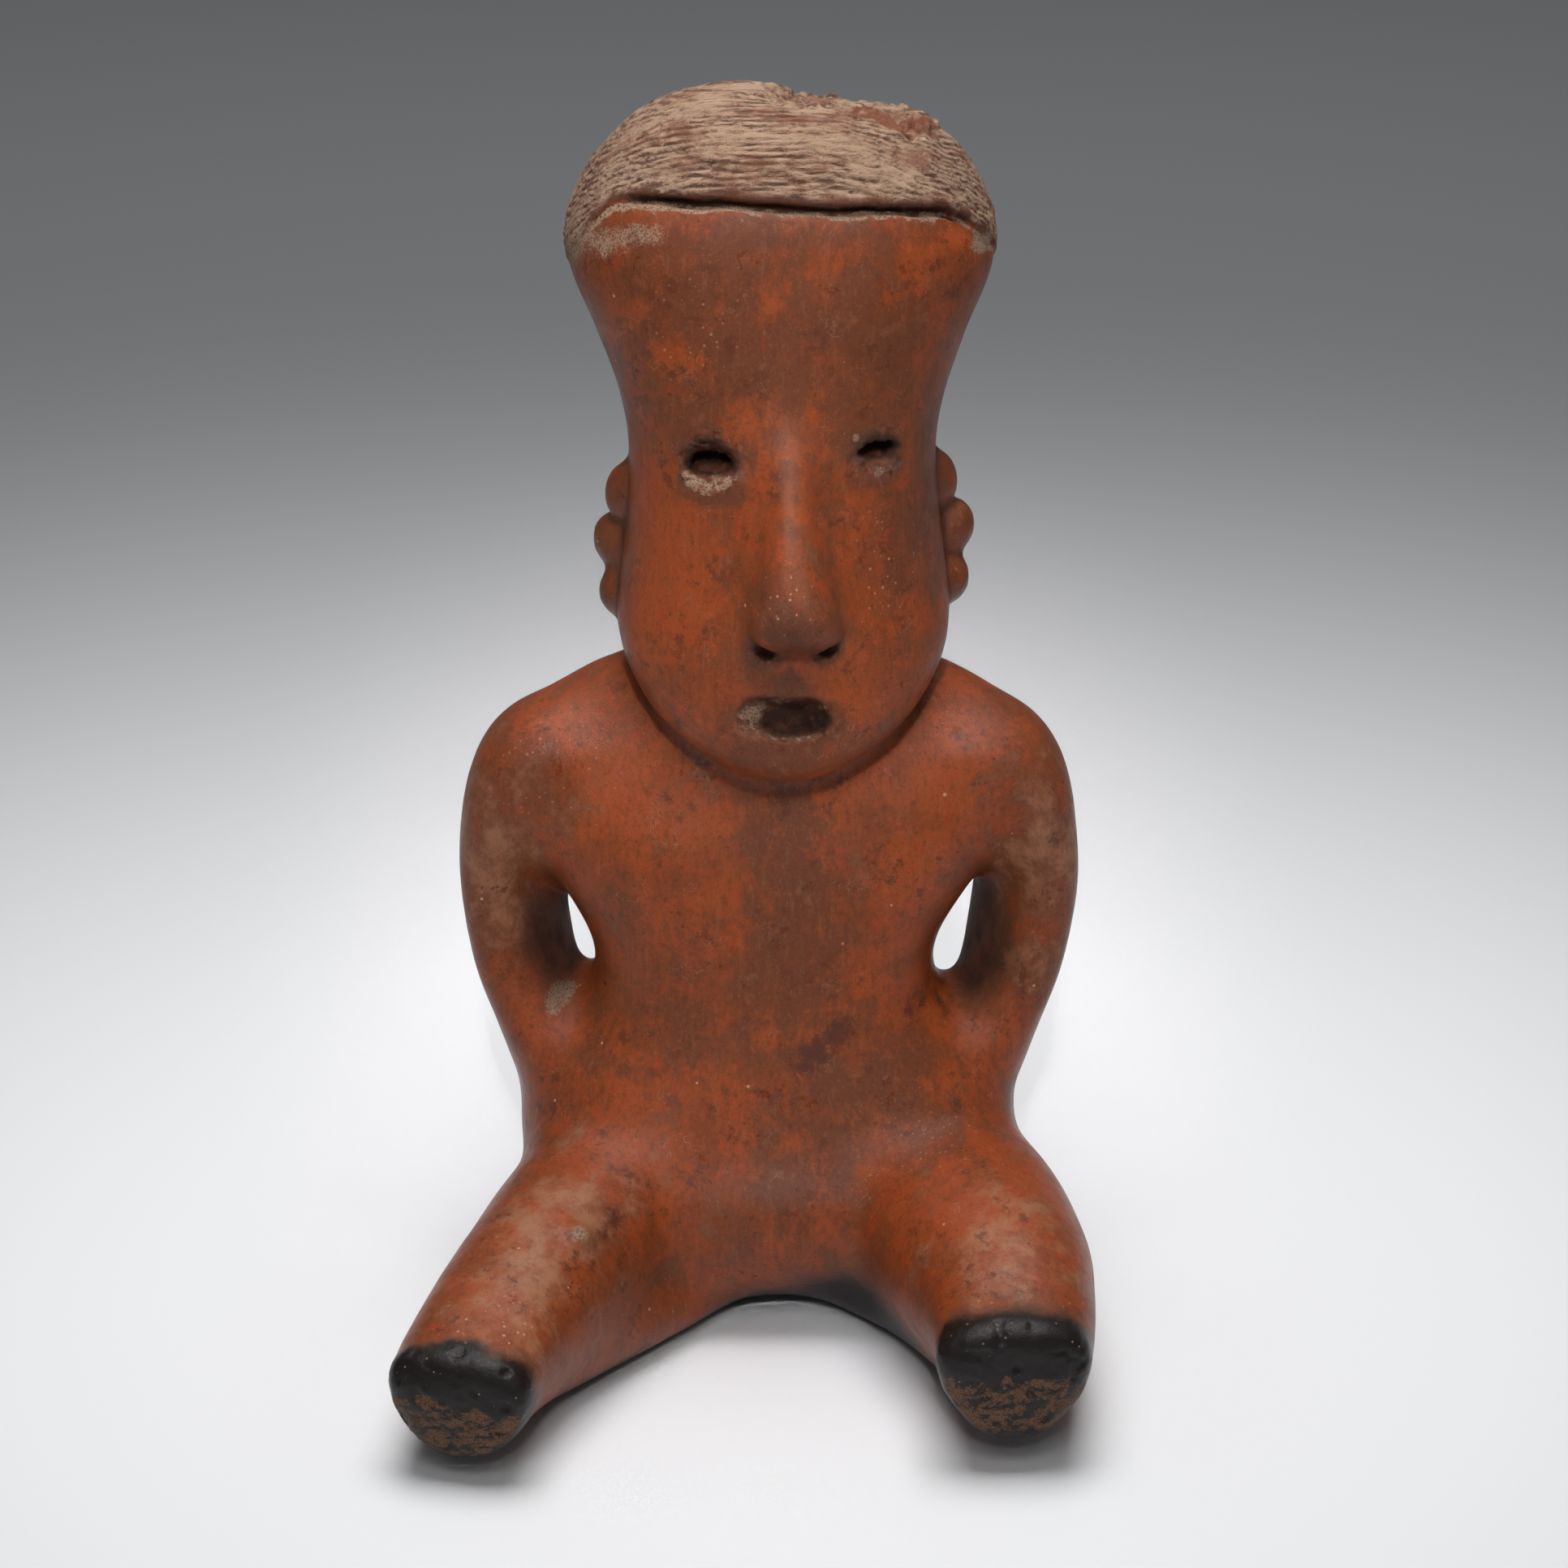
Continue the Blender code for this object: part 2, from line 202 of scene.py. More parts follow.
@dataclass
class Skin:
    """The surface that the hands shaped, as arrays: points and normals in millimetres, and its edges."""

    points: np.ndarray
    normals: np.ndarray
    edges: np.ndarray

    head_shift: float = 3.4
    head_turn: float = math.radians(3.0)

    @classmethod
    def read(cls, mesh: bpy.types.Mesh) -> "Skin":
        """Read a mesh.

        Args:
            mesh: The mesh, in metres.

        Returns:
            Its skin, in millimetres.
        """
        points = np.empty(len(mesh.vertices) * 3, np.float32)
        mesh.vertices.foreach_get("co", points)
        edges = np.empty(len(mesh.edges) * 2, np.int32)
        mesh.edges.foreach_get("vertices", edges)
        skin = cls(points.reshape(-1, 3).astype(float) / MM, np.empty(0), edges.reshape(-1, 2))
        skin.turn_out(mesh)
        return skin

    def turn_out(self, mesh: bpy.types.Mesh) -> None:
        """Write the points back to their mesh and take its normals again.

        Args:
            mesh: The mesh that this skin was read from.
        """
        mesh.vertices.foreach_set("co", (self.points * MM).astype(np.float32).ravel())
        mesh.update()
        normals = np.empty(len(mesh.vertices) * 3, np.float32)
        mesh.vertex_normals.foreach_get("vector", normals)
        self.normals = normals.reshape(-1, 3).astype(float)

    def in_head(self) -> np.ndarray:
        """Give the points as the head's own measures have them, facing straight forward."""
        c, s = math.cos(self.head_turn), math.sin(self.head_turn)
        x, y = self.points[:, 0] - self.head_shift, self.points[:, 1]
        return np.column_stack((c * x + s * y, c * y - s * x, self.points[:, 2]))

    def mean_of_neighbours(self, values: np.ndarray) -> np.ndarray:
        """Average a value over the points next to each point.

        Args:
            values: One value or row for each point.

        Returns:
            The averages.
        """
        a, b = self.edges.T
        count = np.bincount(a, minlength=len(values)) + np.bincount(b, minlength=len(values))
        columns = values.reshape(len(values), -1).T
        sums = [
            np.bincount(a, c[b], minlength=len(values)) + np.bincount(b, c[a], minlength=len(values))
            for c in columns
        ]
        return (np.array(sums) / np.maximum(count, 1)).T.reshape(values.shape)

    def relax(self, rounds: int, share: np.ndarray | float) -> None:
        """Smooth the skin.

        Args:
            rounds: How many times each point moves towards its neighbours' middle.
            share: How far it moves each time, for all points or for each.
        """
        weight = np.broadcast_to(share, len(self.points))[:, None]
        for _ in range(rounds):
            self.points += weight * (self.mean_of_neighbours(self.points) - self.points)

    def raise_by(self, heights: np.ndarray) -> None:
        """Move the points out along their normals.

        Args:
            heights: How far each moves, in millimetres.
        """
        self.points += self.normals * heights[:, None]

    def sunk(self, rounds: int) -> np.ndarray:
        """Tell how far each point lies below the smooth surface round it.

        Args:
            rounds: How wide that surface is, in rounds of smoothing.

        Returns:
            The depth in millimetres, negative on a ridge.
        """
        smooth = self.points.copy()
        for _ in range(rounds):
            smooth += 0.5 * (self.mean_of_neighbours(smooth) - smooth)
        return np.einsum("ij,ij->i", smooth - self.points, self.normals)


@dataclass
class HandModelling:
    """The slight unevenness that fingers and a burnishing pebble leave all over."""

    waves: tuple[tuple[float, float, int], ...] = ((26.0, 0.30, 11), (11.0, 0.12, 12), (5.0, 0.035, 13))
    lump: Triple = (-40.8, -63.6, 38.8)
    lump_half: float = 3.0
    lump_height: float = 2.8
    dents: tuple[tuple[float, float, float, float, float], ...] = (
        (-33.4, -54.6, 38.3, 2.4, 0.5),
        (-36.5, -57.0, 39.5, 1.2, 0.35),
        (40.4, -11.3, 71.5, 1.5, 0.9),
        (7.2, -46.1, 191.0, 1.0, 0.25),
        (-4.0, -29.5, 112.0, 1.4, 0.25),
        (18.0, -30.5, 96.0, 1.2, 0.3),
        (-30.0, -25.5, 117.0, 1.4, 0.3),
        (12.0, -38.5, 47.0, 1.5, 0.3),
    )

    def shape(self, skin: Skin) -> np.ndarray:
        """Give the unevenness as heights.

        Args:
            skin: The surface to be uneven.

        Returns:
            A height for each point.
        """
        heights = sum(size * cloud(skin.points, grain, seed) for grain, size, seed in self.waves)
        heights += self.lump_height * dab(skin.points, self.lump, (self.lump_half,) * 3)
        for x, y, z, half, depth in self.dents:
            heights -= depth * dab(skin.points, (x, y, z), (half,) * 3)
        return heights


@dataclass
class HairCap:
    """The cap of hair over the flaring head, combed in fine strands with a stiff brush or a frayed stick."""

    strand_mm: float = 1.3
    comb_depth: float = 0.34
    comb_tilt: float = math.radians(50)
    middle_y: float = 4.0
    roundness: float = 14.0
    lip_height: float = 0.55
    line: tuple[tuple[float, float], ...] = (
        (-46, 249), (-41, 257.0), (-37, 260.5), (-30, 261.8), (-10, 262.2), (3, 261.2), (23, 260), (34, 258.5),
        (42, 253.5), (48, 249),
    )
    behind: tuple[tuple[float, float], ...] = ((62, 250), (90, 243), (125, 236), (180, 231))

    def border(self, head: np.ndarray) -> np.ndarray:
        """Give the height of the hair's lower edge round the head.

        Args:
            head: Points in the head's own measures.

        Returns:
            The edge's height over each point.
        """
        front = np.interp(head[:, 0], *np.array(self.line).T)
        round_way = np.degrees(np.abs(np.arctan2(head[:, 0], -(head[:, 1] - 2.0))))
        back = np.interp(round_way, *np.array(self.behind).T)
        return front + (back - front) * ramp(58, 88, round_way)

    def above_border(self, head: np.ndarray) -> np.ndarray:
        """Give the height of points above the hair's edge."""
        return head[:, 2] - self.border(head)

    def strands(self, head: np.ndarray) -> np.ndarray:
        """Give the combed lines: 1 along a strand's crest, 0 in the scratch beside it.

        Args:
            head: Points in the head's own measures.

        Returns:
            The share for each point.
        """
        reach = np.sqrt((head[:, 1] - self.middle_y) ** 2 + self.roundness**2)
        level = head[:, 2] * math.cos(self.comb_tilt) - reach * math.sin(self.comb_tilt) + 0.05 * head[:, 0]
        level += 1.3 * cloud(head, 20.0, 21) + 0.35 * cloud(head * (0.4, 1.0, 1.0), 5.0, 22)
        wave = level / self.strand_mm
        wave += 0.38 * cloud(head * (0.25, 0.9, 1.1), 2.4, 23)
        crest = np.abs(2.0 * (wave - np.floor(wave)) - 1.0)
        return crest

    def combing(self, head: np.ndarray) -> np.ndarray:
        """Tell how clearly the combing still shows: less where silt has filled it.

        Args:
            head: Points in the head's own measures.

        Returns:
            From 0 to 1 for each point.
        """
        return 0.35 + 0.65 * ramp(-0.75, 0.25, cloud(head * (0.45, 1.0, 1.0), 6.0, 24, 2))

    def shape(self, skin: Skin) -> np.ndarray:
        """Give the combing and the raised edge as heights.

        Args:
            skin: The surface.

        Returns:
            A height for each point.
        """
        whole = skin.in_head()
        heights = np.zeros(len(whole))
        spot = self.above_border(whole) > -1.5
        head = whole[spot]
        above = self.above_border(head)
        covered = ramp(2.2, 4.0, above)
        scratch = 1.0 - ramp(0.0, 0.5, self.strands(head))
        rise = -self.comb_depth * covered * (0.25 + 0.75 * self.combing(head)) * scratch
        crumbs = 0.20 * cloud(head * (0.6, 1, 1), 2.6, 25, 2) + 0.14 * cloud(head * (0.35, 1, 1), 1.1, 27, 2)
        pits = -0.5 * ramp(0.55, 0.8, cloud(head * (0.6, 1, 1), 1.8, 28))
        rise += covered * (crumbs + pits)
        front = ramp(62, 50, np.degrees(np.abs(np.arctan2(head[:, 0], -head[:, 1]))))
        rise += self.lip_height * front * ramp(0.5, 1.2, above) * ramp(6.5, 2.8, above)
        rise += 0.45 * (1.0 - front) * ramp(-0.8, 0.8, above)
        heights[spot] = rise
        return heights


@dataclass
class HairLine:
    """The slit cut under the hair, and the silted hollow that it ends in on the figure's left."""

    half_width: float = 0.85
    depth: float = 2.3
    height_of: tuple[tuple[float, float], ...] = HairCap.line
    ends: tuple[float, float] = (-32.5, 38.5)
    hollow: tuple[Triple, ...] = ((38.5, -19.5, 255.6), (43.1, -15.0, 253.2), (48.0, -7.5, 249.5))
    hollow_half: float = 2.3
    hollow_depth: float = 1.0

    def across(self, skin: Skin) -> np.ndarray:
        """Give how deep in the slit each point is, from 0 to 1."""
        whole = skin.in_head()
        depth = np.zeros(len(whole))
        height = np.interp(whole[:, 0], *np.array(self.height_of).T)
        spot = (np.abs(whole[:, 2] - height) < 5.0) & (whole[:, 1] < -6)
        head = whole[spot]
        wander = 0.30 * cloud(head, 6.0, 31) + 0.14 * cloud(head, 2.0, 32)
        off = np.abs(head[:, 2] - height[spot] - wander)
        wide = self.half_width * (1.0 + 0.28 * cloud(head, 7.0, 33))
        left, right = self.ends
        run = ramp(left - 2.5, left + 2.5, head[:, 0]) * ramp(right + 2.0, right - 2.0, head[:, 0])
        depth[spot] = ramp(1.25, 0.55, off / wide) * run
        return depth

    def shape(self, skin: Skin) -> np.ndarray:
        """Give the slit and the hollow as heights, which are below zero."""
        silted = along_path(skin.points, self.hollow) / self.hollow_half
        return -self.depth * self.across(skin) - self.hollow_depth * np.exp(-silted**2)


@dataclass
class BrokenCrown:
    """The place on the top where the crown has crumbled away, rough and grainy."""

    edge: tuple[tuple[float, float], ...] = (
        (-3, -5), (1, -11), (8, -9), (13, -14), (19, -12), (26, -14), (32, -9), (36, 0), (36, 12), (31, 22),
        (22, 29), (13, 31), (6, 30), (1, 22), (-6, 15), (-3, 5),
    )
    notches: tuple[tuple[float, float, float, float, float], ...] = (
        (6.0, 2.0, 278.0, 1.5, 1.0),
        (15.0, 2.0, 277.0, 1.7, 2.3),
        (25.0, 2.0, 275.0, 1.5, 1.2),
        (34.0, 2.0, 271.0, 2.2, 1.2),
    )
    clean: tuple[Triple, Triple] = ((23.0, -6.0, 273.0), (13.0, 16.0, 7.0))

    def inside(self, skin: Skin) -> np.ndarray:
        """Tell which points are on the break.

        Args:
            skin: The surface.

        Returns:
            From 0 outside it to 1 well inside.
        """
        whole = skin.in_head()
        share = np.zeros(len(whole))
        spot = whole[:, 2] > 262
        head = whole[spot]
        plan = np.column_stack((head[:, :2], np.zeros(len(head))))
        rim = tuple((float(x), float(y), 0.0) for x, y in self.edge + self.edge[:1])
        gap = along_path(plan, rim)
        odd = np.zeros(len(plan), bool)
        for (x0, y0, _), (x1, y1, _) in zip(rim, rim[1:]):
            spans = (y0 > plan[:, 1]) != (y1 > plan[:, 1])
            odd ^= spans & (plan[:, 0] < (x1 - x0) * (plan[:, 1] - y0) / (y1 - y0 + 1e-12) + x0)
        signed = np.where(odd, gap, -gap) + 0.9 * cloud(head, 3.0, 41)
        share[spot] = ramp(-0.6, 0.8, signed)
        return share

    def shape(self, skin: Skin) -> np.ndarray:
        """Give the crumbled surface as heights."""
        share = self.inside(skin)
        spot = skin.points[:, 2] > 262
        points, head = skin.points[spot], skin.in_head()[spot]
        grit = 0.9 * cloud(points, 5.0, 42) + 0.95 * cloud(points, 2.2, 43, 3)
        rise = share[spot] * grit
        for x, y, z, half, depth in self.notches:
            rise -= depth * dab(head, (x, y, z), (half, 12.0, half * 4.0))
        heights = np.zeros(len(share))
        heights[spot] = rise
        return heights


@dataclass
class CutFeature:
    """A hole that a stick cut in the wet face, in the shallow dish that a fingertip pressed round it."""

    hole: Triple
    hole_half: Triple
    dish: Triple
    dish_half: Triple
    rim_height: float
    crumble: float
    silt: float
    seed: int
    sink: float
    infill: float
    press: float
    silt_above: float

    def in_hole(self, head: np.ndarray) -> np.ndarray:
        """Give how near points are to the hole's middle, as a share of its size."""
        return away_from(head, self.hole, self.hole_half)

    def in_dish(self, head: np.ndarray) -> np.ndarray:
        """Give how near points are to the dish's middle, as a share of its size."""
        return away_from(head, self.dish, self.dish_half)

    def shape(self, skin: Skin) -> np.ndarray:
        """Give the crumbs and the pushed-up lower rim as heights."""
        whole = skin.in_head()
        heights = np.zeros(len(whole))
        spot = self.in_dish(whole) < 1.9
        head = whole[spot]
        near = self.in_dish(head) + 0.10 * cloud(head, 2.5, self.seed)
        below = ramp(-0.5, -4.0, head[:, 2] - self.dish[2])
        ring = np.exp(-(((near - 1.05) / 0.20) ** 2))
        crumbs = self.crumble * ramp(1.45, 0.9, near) * ramp(0.5, 0.9, self.in_hole(head))
        crumbs *= cloud(head, 1.4, self.seed + 1, 2)
        pits = -0.35 * self.crumble / 0.2 * ramp(1.3, 1.0, near) * ramp(0.5, 0.8, cloud(head, 1.2, self.seed + 3))
        deeper = self.infill * ramp(1.15, 0.8, near) * ramp(1.0, 1.4, self.in_hole(head))
        deeper -= self.sink * ramp(1.0, 0.45, self.in_hole(head) + 0.2 * cloud(head, 2.0, self.seed + 4))
        deeper -= self.press * ramp(1.25, 0.5, near)
        heights[spot] = self.rim_height * ring * below + crumbs + pits + deeper
        return heights


@dataclass
class Sole:
    """The flat end of a leg, with a lip along its top edge, blackened and worn."""

    middle: Triple
    facing: Triple
    lip_height: float
    seed: int
    soot_reach: float
    worn_below: float

    def behind(self, points: np.ndarray) -> np.ndarray:
        """Give how far points lie behind the sole's plane, in millimetres."""
        out = np.array(self.facing) / np.linalg.norm(self.facing)
        return (np.array(self.middle) - points) @ out

    def here(self, points: np.ndarray) -> np.ndarray:
        """Tell which points belong to this leg's end: 1 there, 0 elsewhere."""
        return ramp(30, 26, np.abs(points[:, 0] - self.middle[0])) * ramp(45, 40, self.behind(points))

    def on_face(self, skin: Skin) -> np.ndarray:
        """Tell which points are on the flat end itself."""
        out = np.array(self.facing) / np.linalg.norm(self.facing)
        return self.here(skin.points) * ramp(0.2, 0.6, skin.normals @ out) * ramp(9.0, 4.0, self.behind(skin.points))

    def shape(self, skin: Skin) -> np.ndarray:
        """Give the lip, the dents and the rough wear as heights."""
        heights = np.zeros(len(skin.points))
        share = self.here(skin.points)
        spot = share > 0
        points = skin.points[spot]
        back = self.behind(points)
        upper = ramp(1.0, 8.0, points[:, 2] - self.middle[2])
        lip = self.lip_height * upper * np.exp(-(((back - 4.0) / 3.4) ** 2))
        rough = 0.35 * cloud(points, 6.0, self.seed) + 0.12 * cloud(points, 1.6, self.seed + 1, 2)
        chips = -0.45 * ramp(0.45, 0.75, cloud(points, 3.2, self.seed + 2)) * ramp(8.0, 3.0, back)
        heights[spot] = share[spot] * (lip + ramp(9.0, 2.0, back) * rough + chips)
        return heights


# Soft patches at places on the figure, by trace: each row is a middle, half sizes and a strength.
PATCHES: dict[Trace, tuple[tuple[Triple, Triple, float], ...]] = {
    # The brownish, greyish clouds of the firing, and a painted shadow under the nose.
    Trace.DULL_AND_SHADE: (
        ((4.7, -25, 118), (8, 22, 22), 0.85),
        ((6, -31, 88), (11, 20, 20), 0.75),
        ((8, -36, 231), (15, 20, 9), 0.7),
        ((-14, -34, 238), (14, 20, 14), 0.6),
        ((34, -26, 196), (9, 18, 20), 0.8),
        ((28, -34, 226), (12, 18, 14), 0.35),
        ((-60, -8, 108), (14, 30, 34), 0.8),
        ((61, -8, 108), (14, 30, 34), 0.8),
        ((0, -36, 232), (40, 24, 22), 0.5),
        ((20, -36, 62), (20, 20, 13), 0.6),
        ((-22, -36, 68), (18, 20, 14), 0.45),
        ((34, -30, 56), (14, 20, 10), 0.55),
        ((5, -48, 177), (8, 10, 9), 0.95),
        ((3, -41, 143), (14, 12, 4.5), 0.75),
        # Painted shadow under the nose.
        ((3, -42, 161), (7, 8, 2.6), 0.9),
        ((5, -42, 42), (13, 12, 16), 0.7),
        ((-34, -24, 62), (12, 20, 20), 0.3),
        ((-30, -20, 104), (8, 14, 10), 0.45),
        ((-4, -30, 256), (34, 14, 3.6), 0.6),
        ((-37, -58, 38.8), (8, 8, 6), 1.0),
    ),
    # Where the slip shines brightest orange.
    Trace.BRIGHT: (
        ((-34, -22, 124), (18, 18, 16), 0.9),
        ((38, -20, 128), (17, 18, 18), 0.9),
        ((-20, -32, 186), (12, 18, 18), 0.9),
        ((18, -34, 170), (12, 16, 12), 0.5),
        ((-8, -36, 214), (8, 12, 8), 0.6),
        ((-30, -32, 48), (14, 18, 14), 0.9),
        ((-6, -40, 52), (12, 18, 14), 0.8),
        ((-52, -14, 66), (10, 16, 16), 0.6),
        ((48, -20, 62), (12, 16, 12), 0.5),
        ((42, -60, 44), (16, 20, 10), 0.4),
    ),
    # Where it has faded to a pinkish buff.
    Trace.PALE: (
        ((-60, -8, 108), (14, 30, 26), 0.8),
        ((62, -8, 106), (12, 30, 28), 0.75),
        ((-54, -80, 34), (18, 30, 14), 0.75),
        ((-42, -56, 42), (16, 20, 12), 0.6),
        ((54, -74, 42), (18, 26, 14), 0.7),
        ((-26, -30, 36), (24, 20, 10), 0.35),
        ((-39.9, -62.1, 39.6), (3.6, 3.6, 3.0), 1.0),
    ),
    # Dark red stains, in a slanting row over the belly and beside the lump on the thigh.
    Trace.STAIN: (
        ((33.5, -19.9, 73.6), (5.4, 8, 4.6), 0.72),
        ((38.5, -13.5, 78.5), (4.2, 8, 3.8), 0.6),
        ((17.0, -31.8, 72.5), (4.2, 8, 3.4), 0.95),
        ((12.0, -32.5, 69.0), (4.6, 8, 3.4), 0.95),
        ((8.0, -33.5, 65.0), (3.6, 8, 3.0), 0.9),
        ((1.5, -35.2, 63.0), (4.0, 8, 3.2), 0.62),
        ((-1.5, -35.2, 58.6), (3.2, 8, 1.8), 0.7),
        ((-33.6, -55.0, 38.3), (3.2, 4, 2.8), 0.8),
        ((-37.0, -60.5, 37.2), (3.2, 3, 2.0), 0.7),
    ),
    # Soot from the fire.
    Trace.SOOT_AND_SHADE: (
        ((19, -43, 9), (13, 14, 10), 0.95),
        ((30, -57, 7), (9, 16, 9), 0.75),
        ((2, -30, 1), (34, 16, 6), 0.9),
        ((-36, -72, 4), (14, 26, 6), 0.4),
        ((44, -88, 6), (12, 18, 9), 0.6),
    ),
    # Silt that was never washed off.
    Trace.CRUST: (
        ((-41.2, -64.6, 39.6), (3.2, 3.2, 3.2), 0.72),
        ((-4.0, -36, 153.6), (6.0, 6, 3.2), 0.5),
        ((-3.6, -42, 167.0), (2.6, 3, 2.4), 0.4),
        ((-44, -12, 252), (7, 12, 12), 0.8),
        ((-25, -26, 255.5), (10, 8, 3.6), 0.55),
        ((-34, -22, 252), (7, 8, 5), 0.5),
        ((45.5, -11, 250), (5, 8, 2.6), 0.9),
        ((-46.4, -10.0, 72.6), (4.6, 8, 3.4), 0.62),
        ((-49.6, -14.0, 70.0), (2.6, 6, 6.0), 0.5),
        ((19.1, -32.4, 213.4), (1.0, 3, 1.0), 0.8),
    ),
    # Dark dirt on the nose tip, and painted shade under the nose and in the nostrils.
    Trace.SHADE_AND_DIRT: (
        ((5, -50, 176), (6.5, 8, 6.5), 0.3),
        ((3.5, -42, 161), (8, 8, 3.2), 0.4),
        ((-3.4, -42.5, 165.8), (3.2, 3.5, 3.0), 0.6),
        ((11.8, -42.0, 167.2), (2.6, 3.5, 2.4), 0.55),
    ),
    # Pale grains that the ground pressed into the slip.
    Trace.GRIT: (
        ((4.7, -50.5, 182), (6, 8, 7), 1.0),
        ((27, -33, 184), (9, 16, 12), 0.8),
        ((-16, -34, 236), (12, 16, 14), 0.6),
        ((-46, -18, 130), (12, 16, 12), 0.7),
        ((-60, -96, 32), (16, 12, 7), 0.9),
        ((54, -94, 36), (16, 12, 7), 0.9),
        ((44, -34, 42), (20, 20, 14), 0.5),
    ),
}


@dataclass
class Weathering:
    """The traces on the whole surface, gathered from its parts and from named patches."""

    skin: Skin
    hair: HairCap
    slit: HairLine
    crown: BrokenCrown
    cuts: tuple[CutFeature, ...]
    soles: tuple[Sole, ...]
    pellets: tuple[Triple, ...]
    gap: Triple = (46.0, 2.0, 84.0)
    gap_half: Triple = (12.0, 24.0, 18.0)
    marks: dict[Trace, np.ndarray] = field(default_factory=dict)

    def add(self, trace: Trace, values: np.ndarray) -> None:
        """Deepen one trace.

        Args:
            trace: Which one.
            values: How much, at each point.
        """
        old = self.marks.get(trace, np.zeros(len(self.skin.points)))
        self.marks[trace] = 1.0 - (1.0 - old) * (1.0 - np.clip(values, 0.0, 1.0))

    def on_head(self) -> None:
        """Trace the hair, the slit under it, the break and the cut holes, with painted shade in the slit, the holes and
        their dishes.
        """
        skin, head = self.skin, self.skin.in_head()
        above = self.hair.above_border(head)
        self.marks[Trace.HAIR] = ramp(1.7, 2.6, above + 1.0 * cloud(head, 4.0, 71, 3))
        self.marks[Trace.STRAND] = self.hair.strands(head) * self.hair.combing(head) + 1.0 - self.hair.combing(head)
        clean = dab(head, *self.crown.clean) + 0.25 * cloud(head, 5.0, 73, 3)
        self.marks[Trace.BREAK] = self.crown.inside(skin) * ramp(0.25, 0.5, clean)
        slit = self.slit.across(skin)
        # Painted shade: the slit darkened along its depth.
        self.add(Trace.SHADE_AND_DIRT, slit)
        front = head[:, 1] < -4
        lip = ramp(0.2, 0.8, above) * ramp(5.0, 3.0, above) * front
        self.add(Trace.DULL_AND_SHADE, lip)
        self.add(Trace.SHADE_AND_DIRT, 0.32 * lip)
        below = ramp(-2.2, -1.2, above + 0.4 * cloud(head, 3.0, 72, 2)) * ramp(0.4, -0.7, above) * front
        self.add(Trace.CRUST, (0.78 + 0.3 * cloud(head, 2.2, 75, 3)) * below * (1.0 - slit))
        for cut in self.cuts:
            hole, dish = cut.in_hole(head), cut.in_dish(head)
            low = ramp(-0.5, -4.0, head[:, 2] - cut.dish[2] + 1.2 * cloud(head, 3.0, cut.seed + 6))
            # Painted shade: each hole darkened inside, and the upper part of its dish.
            self.add(Trace.SHADE_AND_DIRT, ramp(1.35, 0.9, hole))
            self.add(Trace.SHADE_AND_DIRT, 0.6 * ramp(1.15, 0.8, dish + 0.1 * cloud(head, 2.0, cut.seed + 7)) * (1.0 - low))
            ragged = dish + 0.10 * cloud(head, 1.8, cut.seed + 8, 2)
            speck = 0.62 + 0.30 * cloud(head, 1.1, cut.seed + 9, 2)
            settled = cut.silt * speck * ramp(1.15, 0.9, ragged) * ramp(0.8, 1.3, hole)
            self.add(Trace.CRUST, settled * np.maximum(low, cut.silt_above))
            # Painted shade: the dish round each hole dulled.
            self.add(Trace.DULL_AND_SHADE, 0.9 * ramp(1.7, 1.0, dish))

    def on_ears(self) -> None:
        """Trace the silt and the painted shade in the creases round the ears' pellets."""
        head = self.skin.in_head()
        near = np.min([away_from(head, pellet, PELLET_REACH) for pellet in self.pellets], axis=0)
        crease = ramp(0.92, 1.08, near) * ramp(1.5, 1.2, near) * (0.6 + 0.3 * cloud(head, 3.0, 76, 2))
        # Painted shade: the creases round the pellets darkened; silt lies in them too.
        self.add(Trace.SHADE_AND_DIRT, 0.55 * crease)
        self.add(Trace.CRUST, 0.42 * crease)
        self.add(Trace.DULL_AND_SHADE, 0.7 * ramp(1.7, 1.1, near))

    def on_legs(self) -> None:
        """Trace the soot and wear of the soles, and the painted shade on the undersides near the floor."""
        skin = self.skin
        for sole in self.soles:
            back = sole.behind(skin.points) + 2.6 * cloud(skin.points, 7.0, sole.seed + 3, 3)
            limit = sole.soot_reach + 5.0 * ramp(20.0, 8.0, skin.points[:, 2])
            self.add(Trace.SOOT_AND_SHADE, sole.here(skin.points) * ramp(1.6, 0.2, back / limit))
            level = skin.points[:, 2] - sole.middle[2] + sole.worn_below
            level += 2.5 * cloud(skin.points, 8.0, sole.seed + 4, 2)
            self.add(Trace.WORN, sole.on_face(skin) * ramp(4.0, -1.0, level) * (0.3 + 0.7 * ramp(-16.5, -12.0, level)))
        # Painted shade: surfaces that face down near the floor darkened.
        under = ramp(-0.2, -0.95, skin.normals[:, 2]) * ramp(24, 4, skin.points[:, 2])
        self.add(Trace.SOOT_AND_SHADE, 0.4 * under)

    def in_gaps(self) -> None:
        """Paint shade inside the arms' gaps: the surfaces that face into them go darker."""
        x, y, z = self.gap
        for side in (-1.0, 1.0):
            near = away_from(self.skin.points, (side * x, y, z), self.gap_half)
            inward = ramp(-0.1, 0.8, self.skin.normals[:, 0] * -side)
            # Painted shade: surfaces facing into the gaps darkened to soot black and near-black.
            self.add(Trace.SOOT_AND_SHADE, 0.34 * ramp(1.3, 0.6, near) * inward)
            gap_shade = 0.62 + 0.22 * cloud(self.skin.points, 5.0, 74, 3)
            self.add(Trace.SHADE_AND_DIRT, gap_shade * ramp(1.35, 0.7, near) * inward)

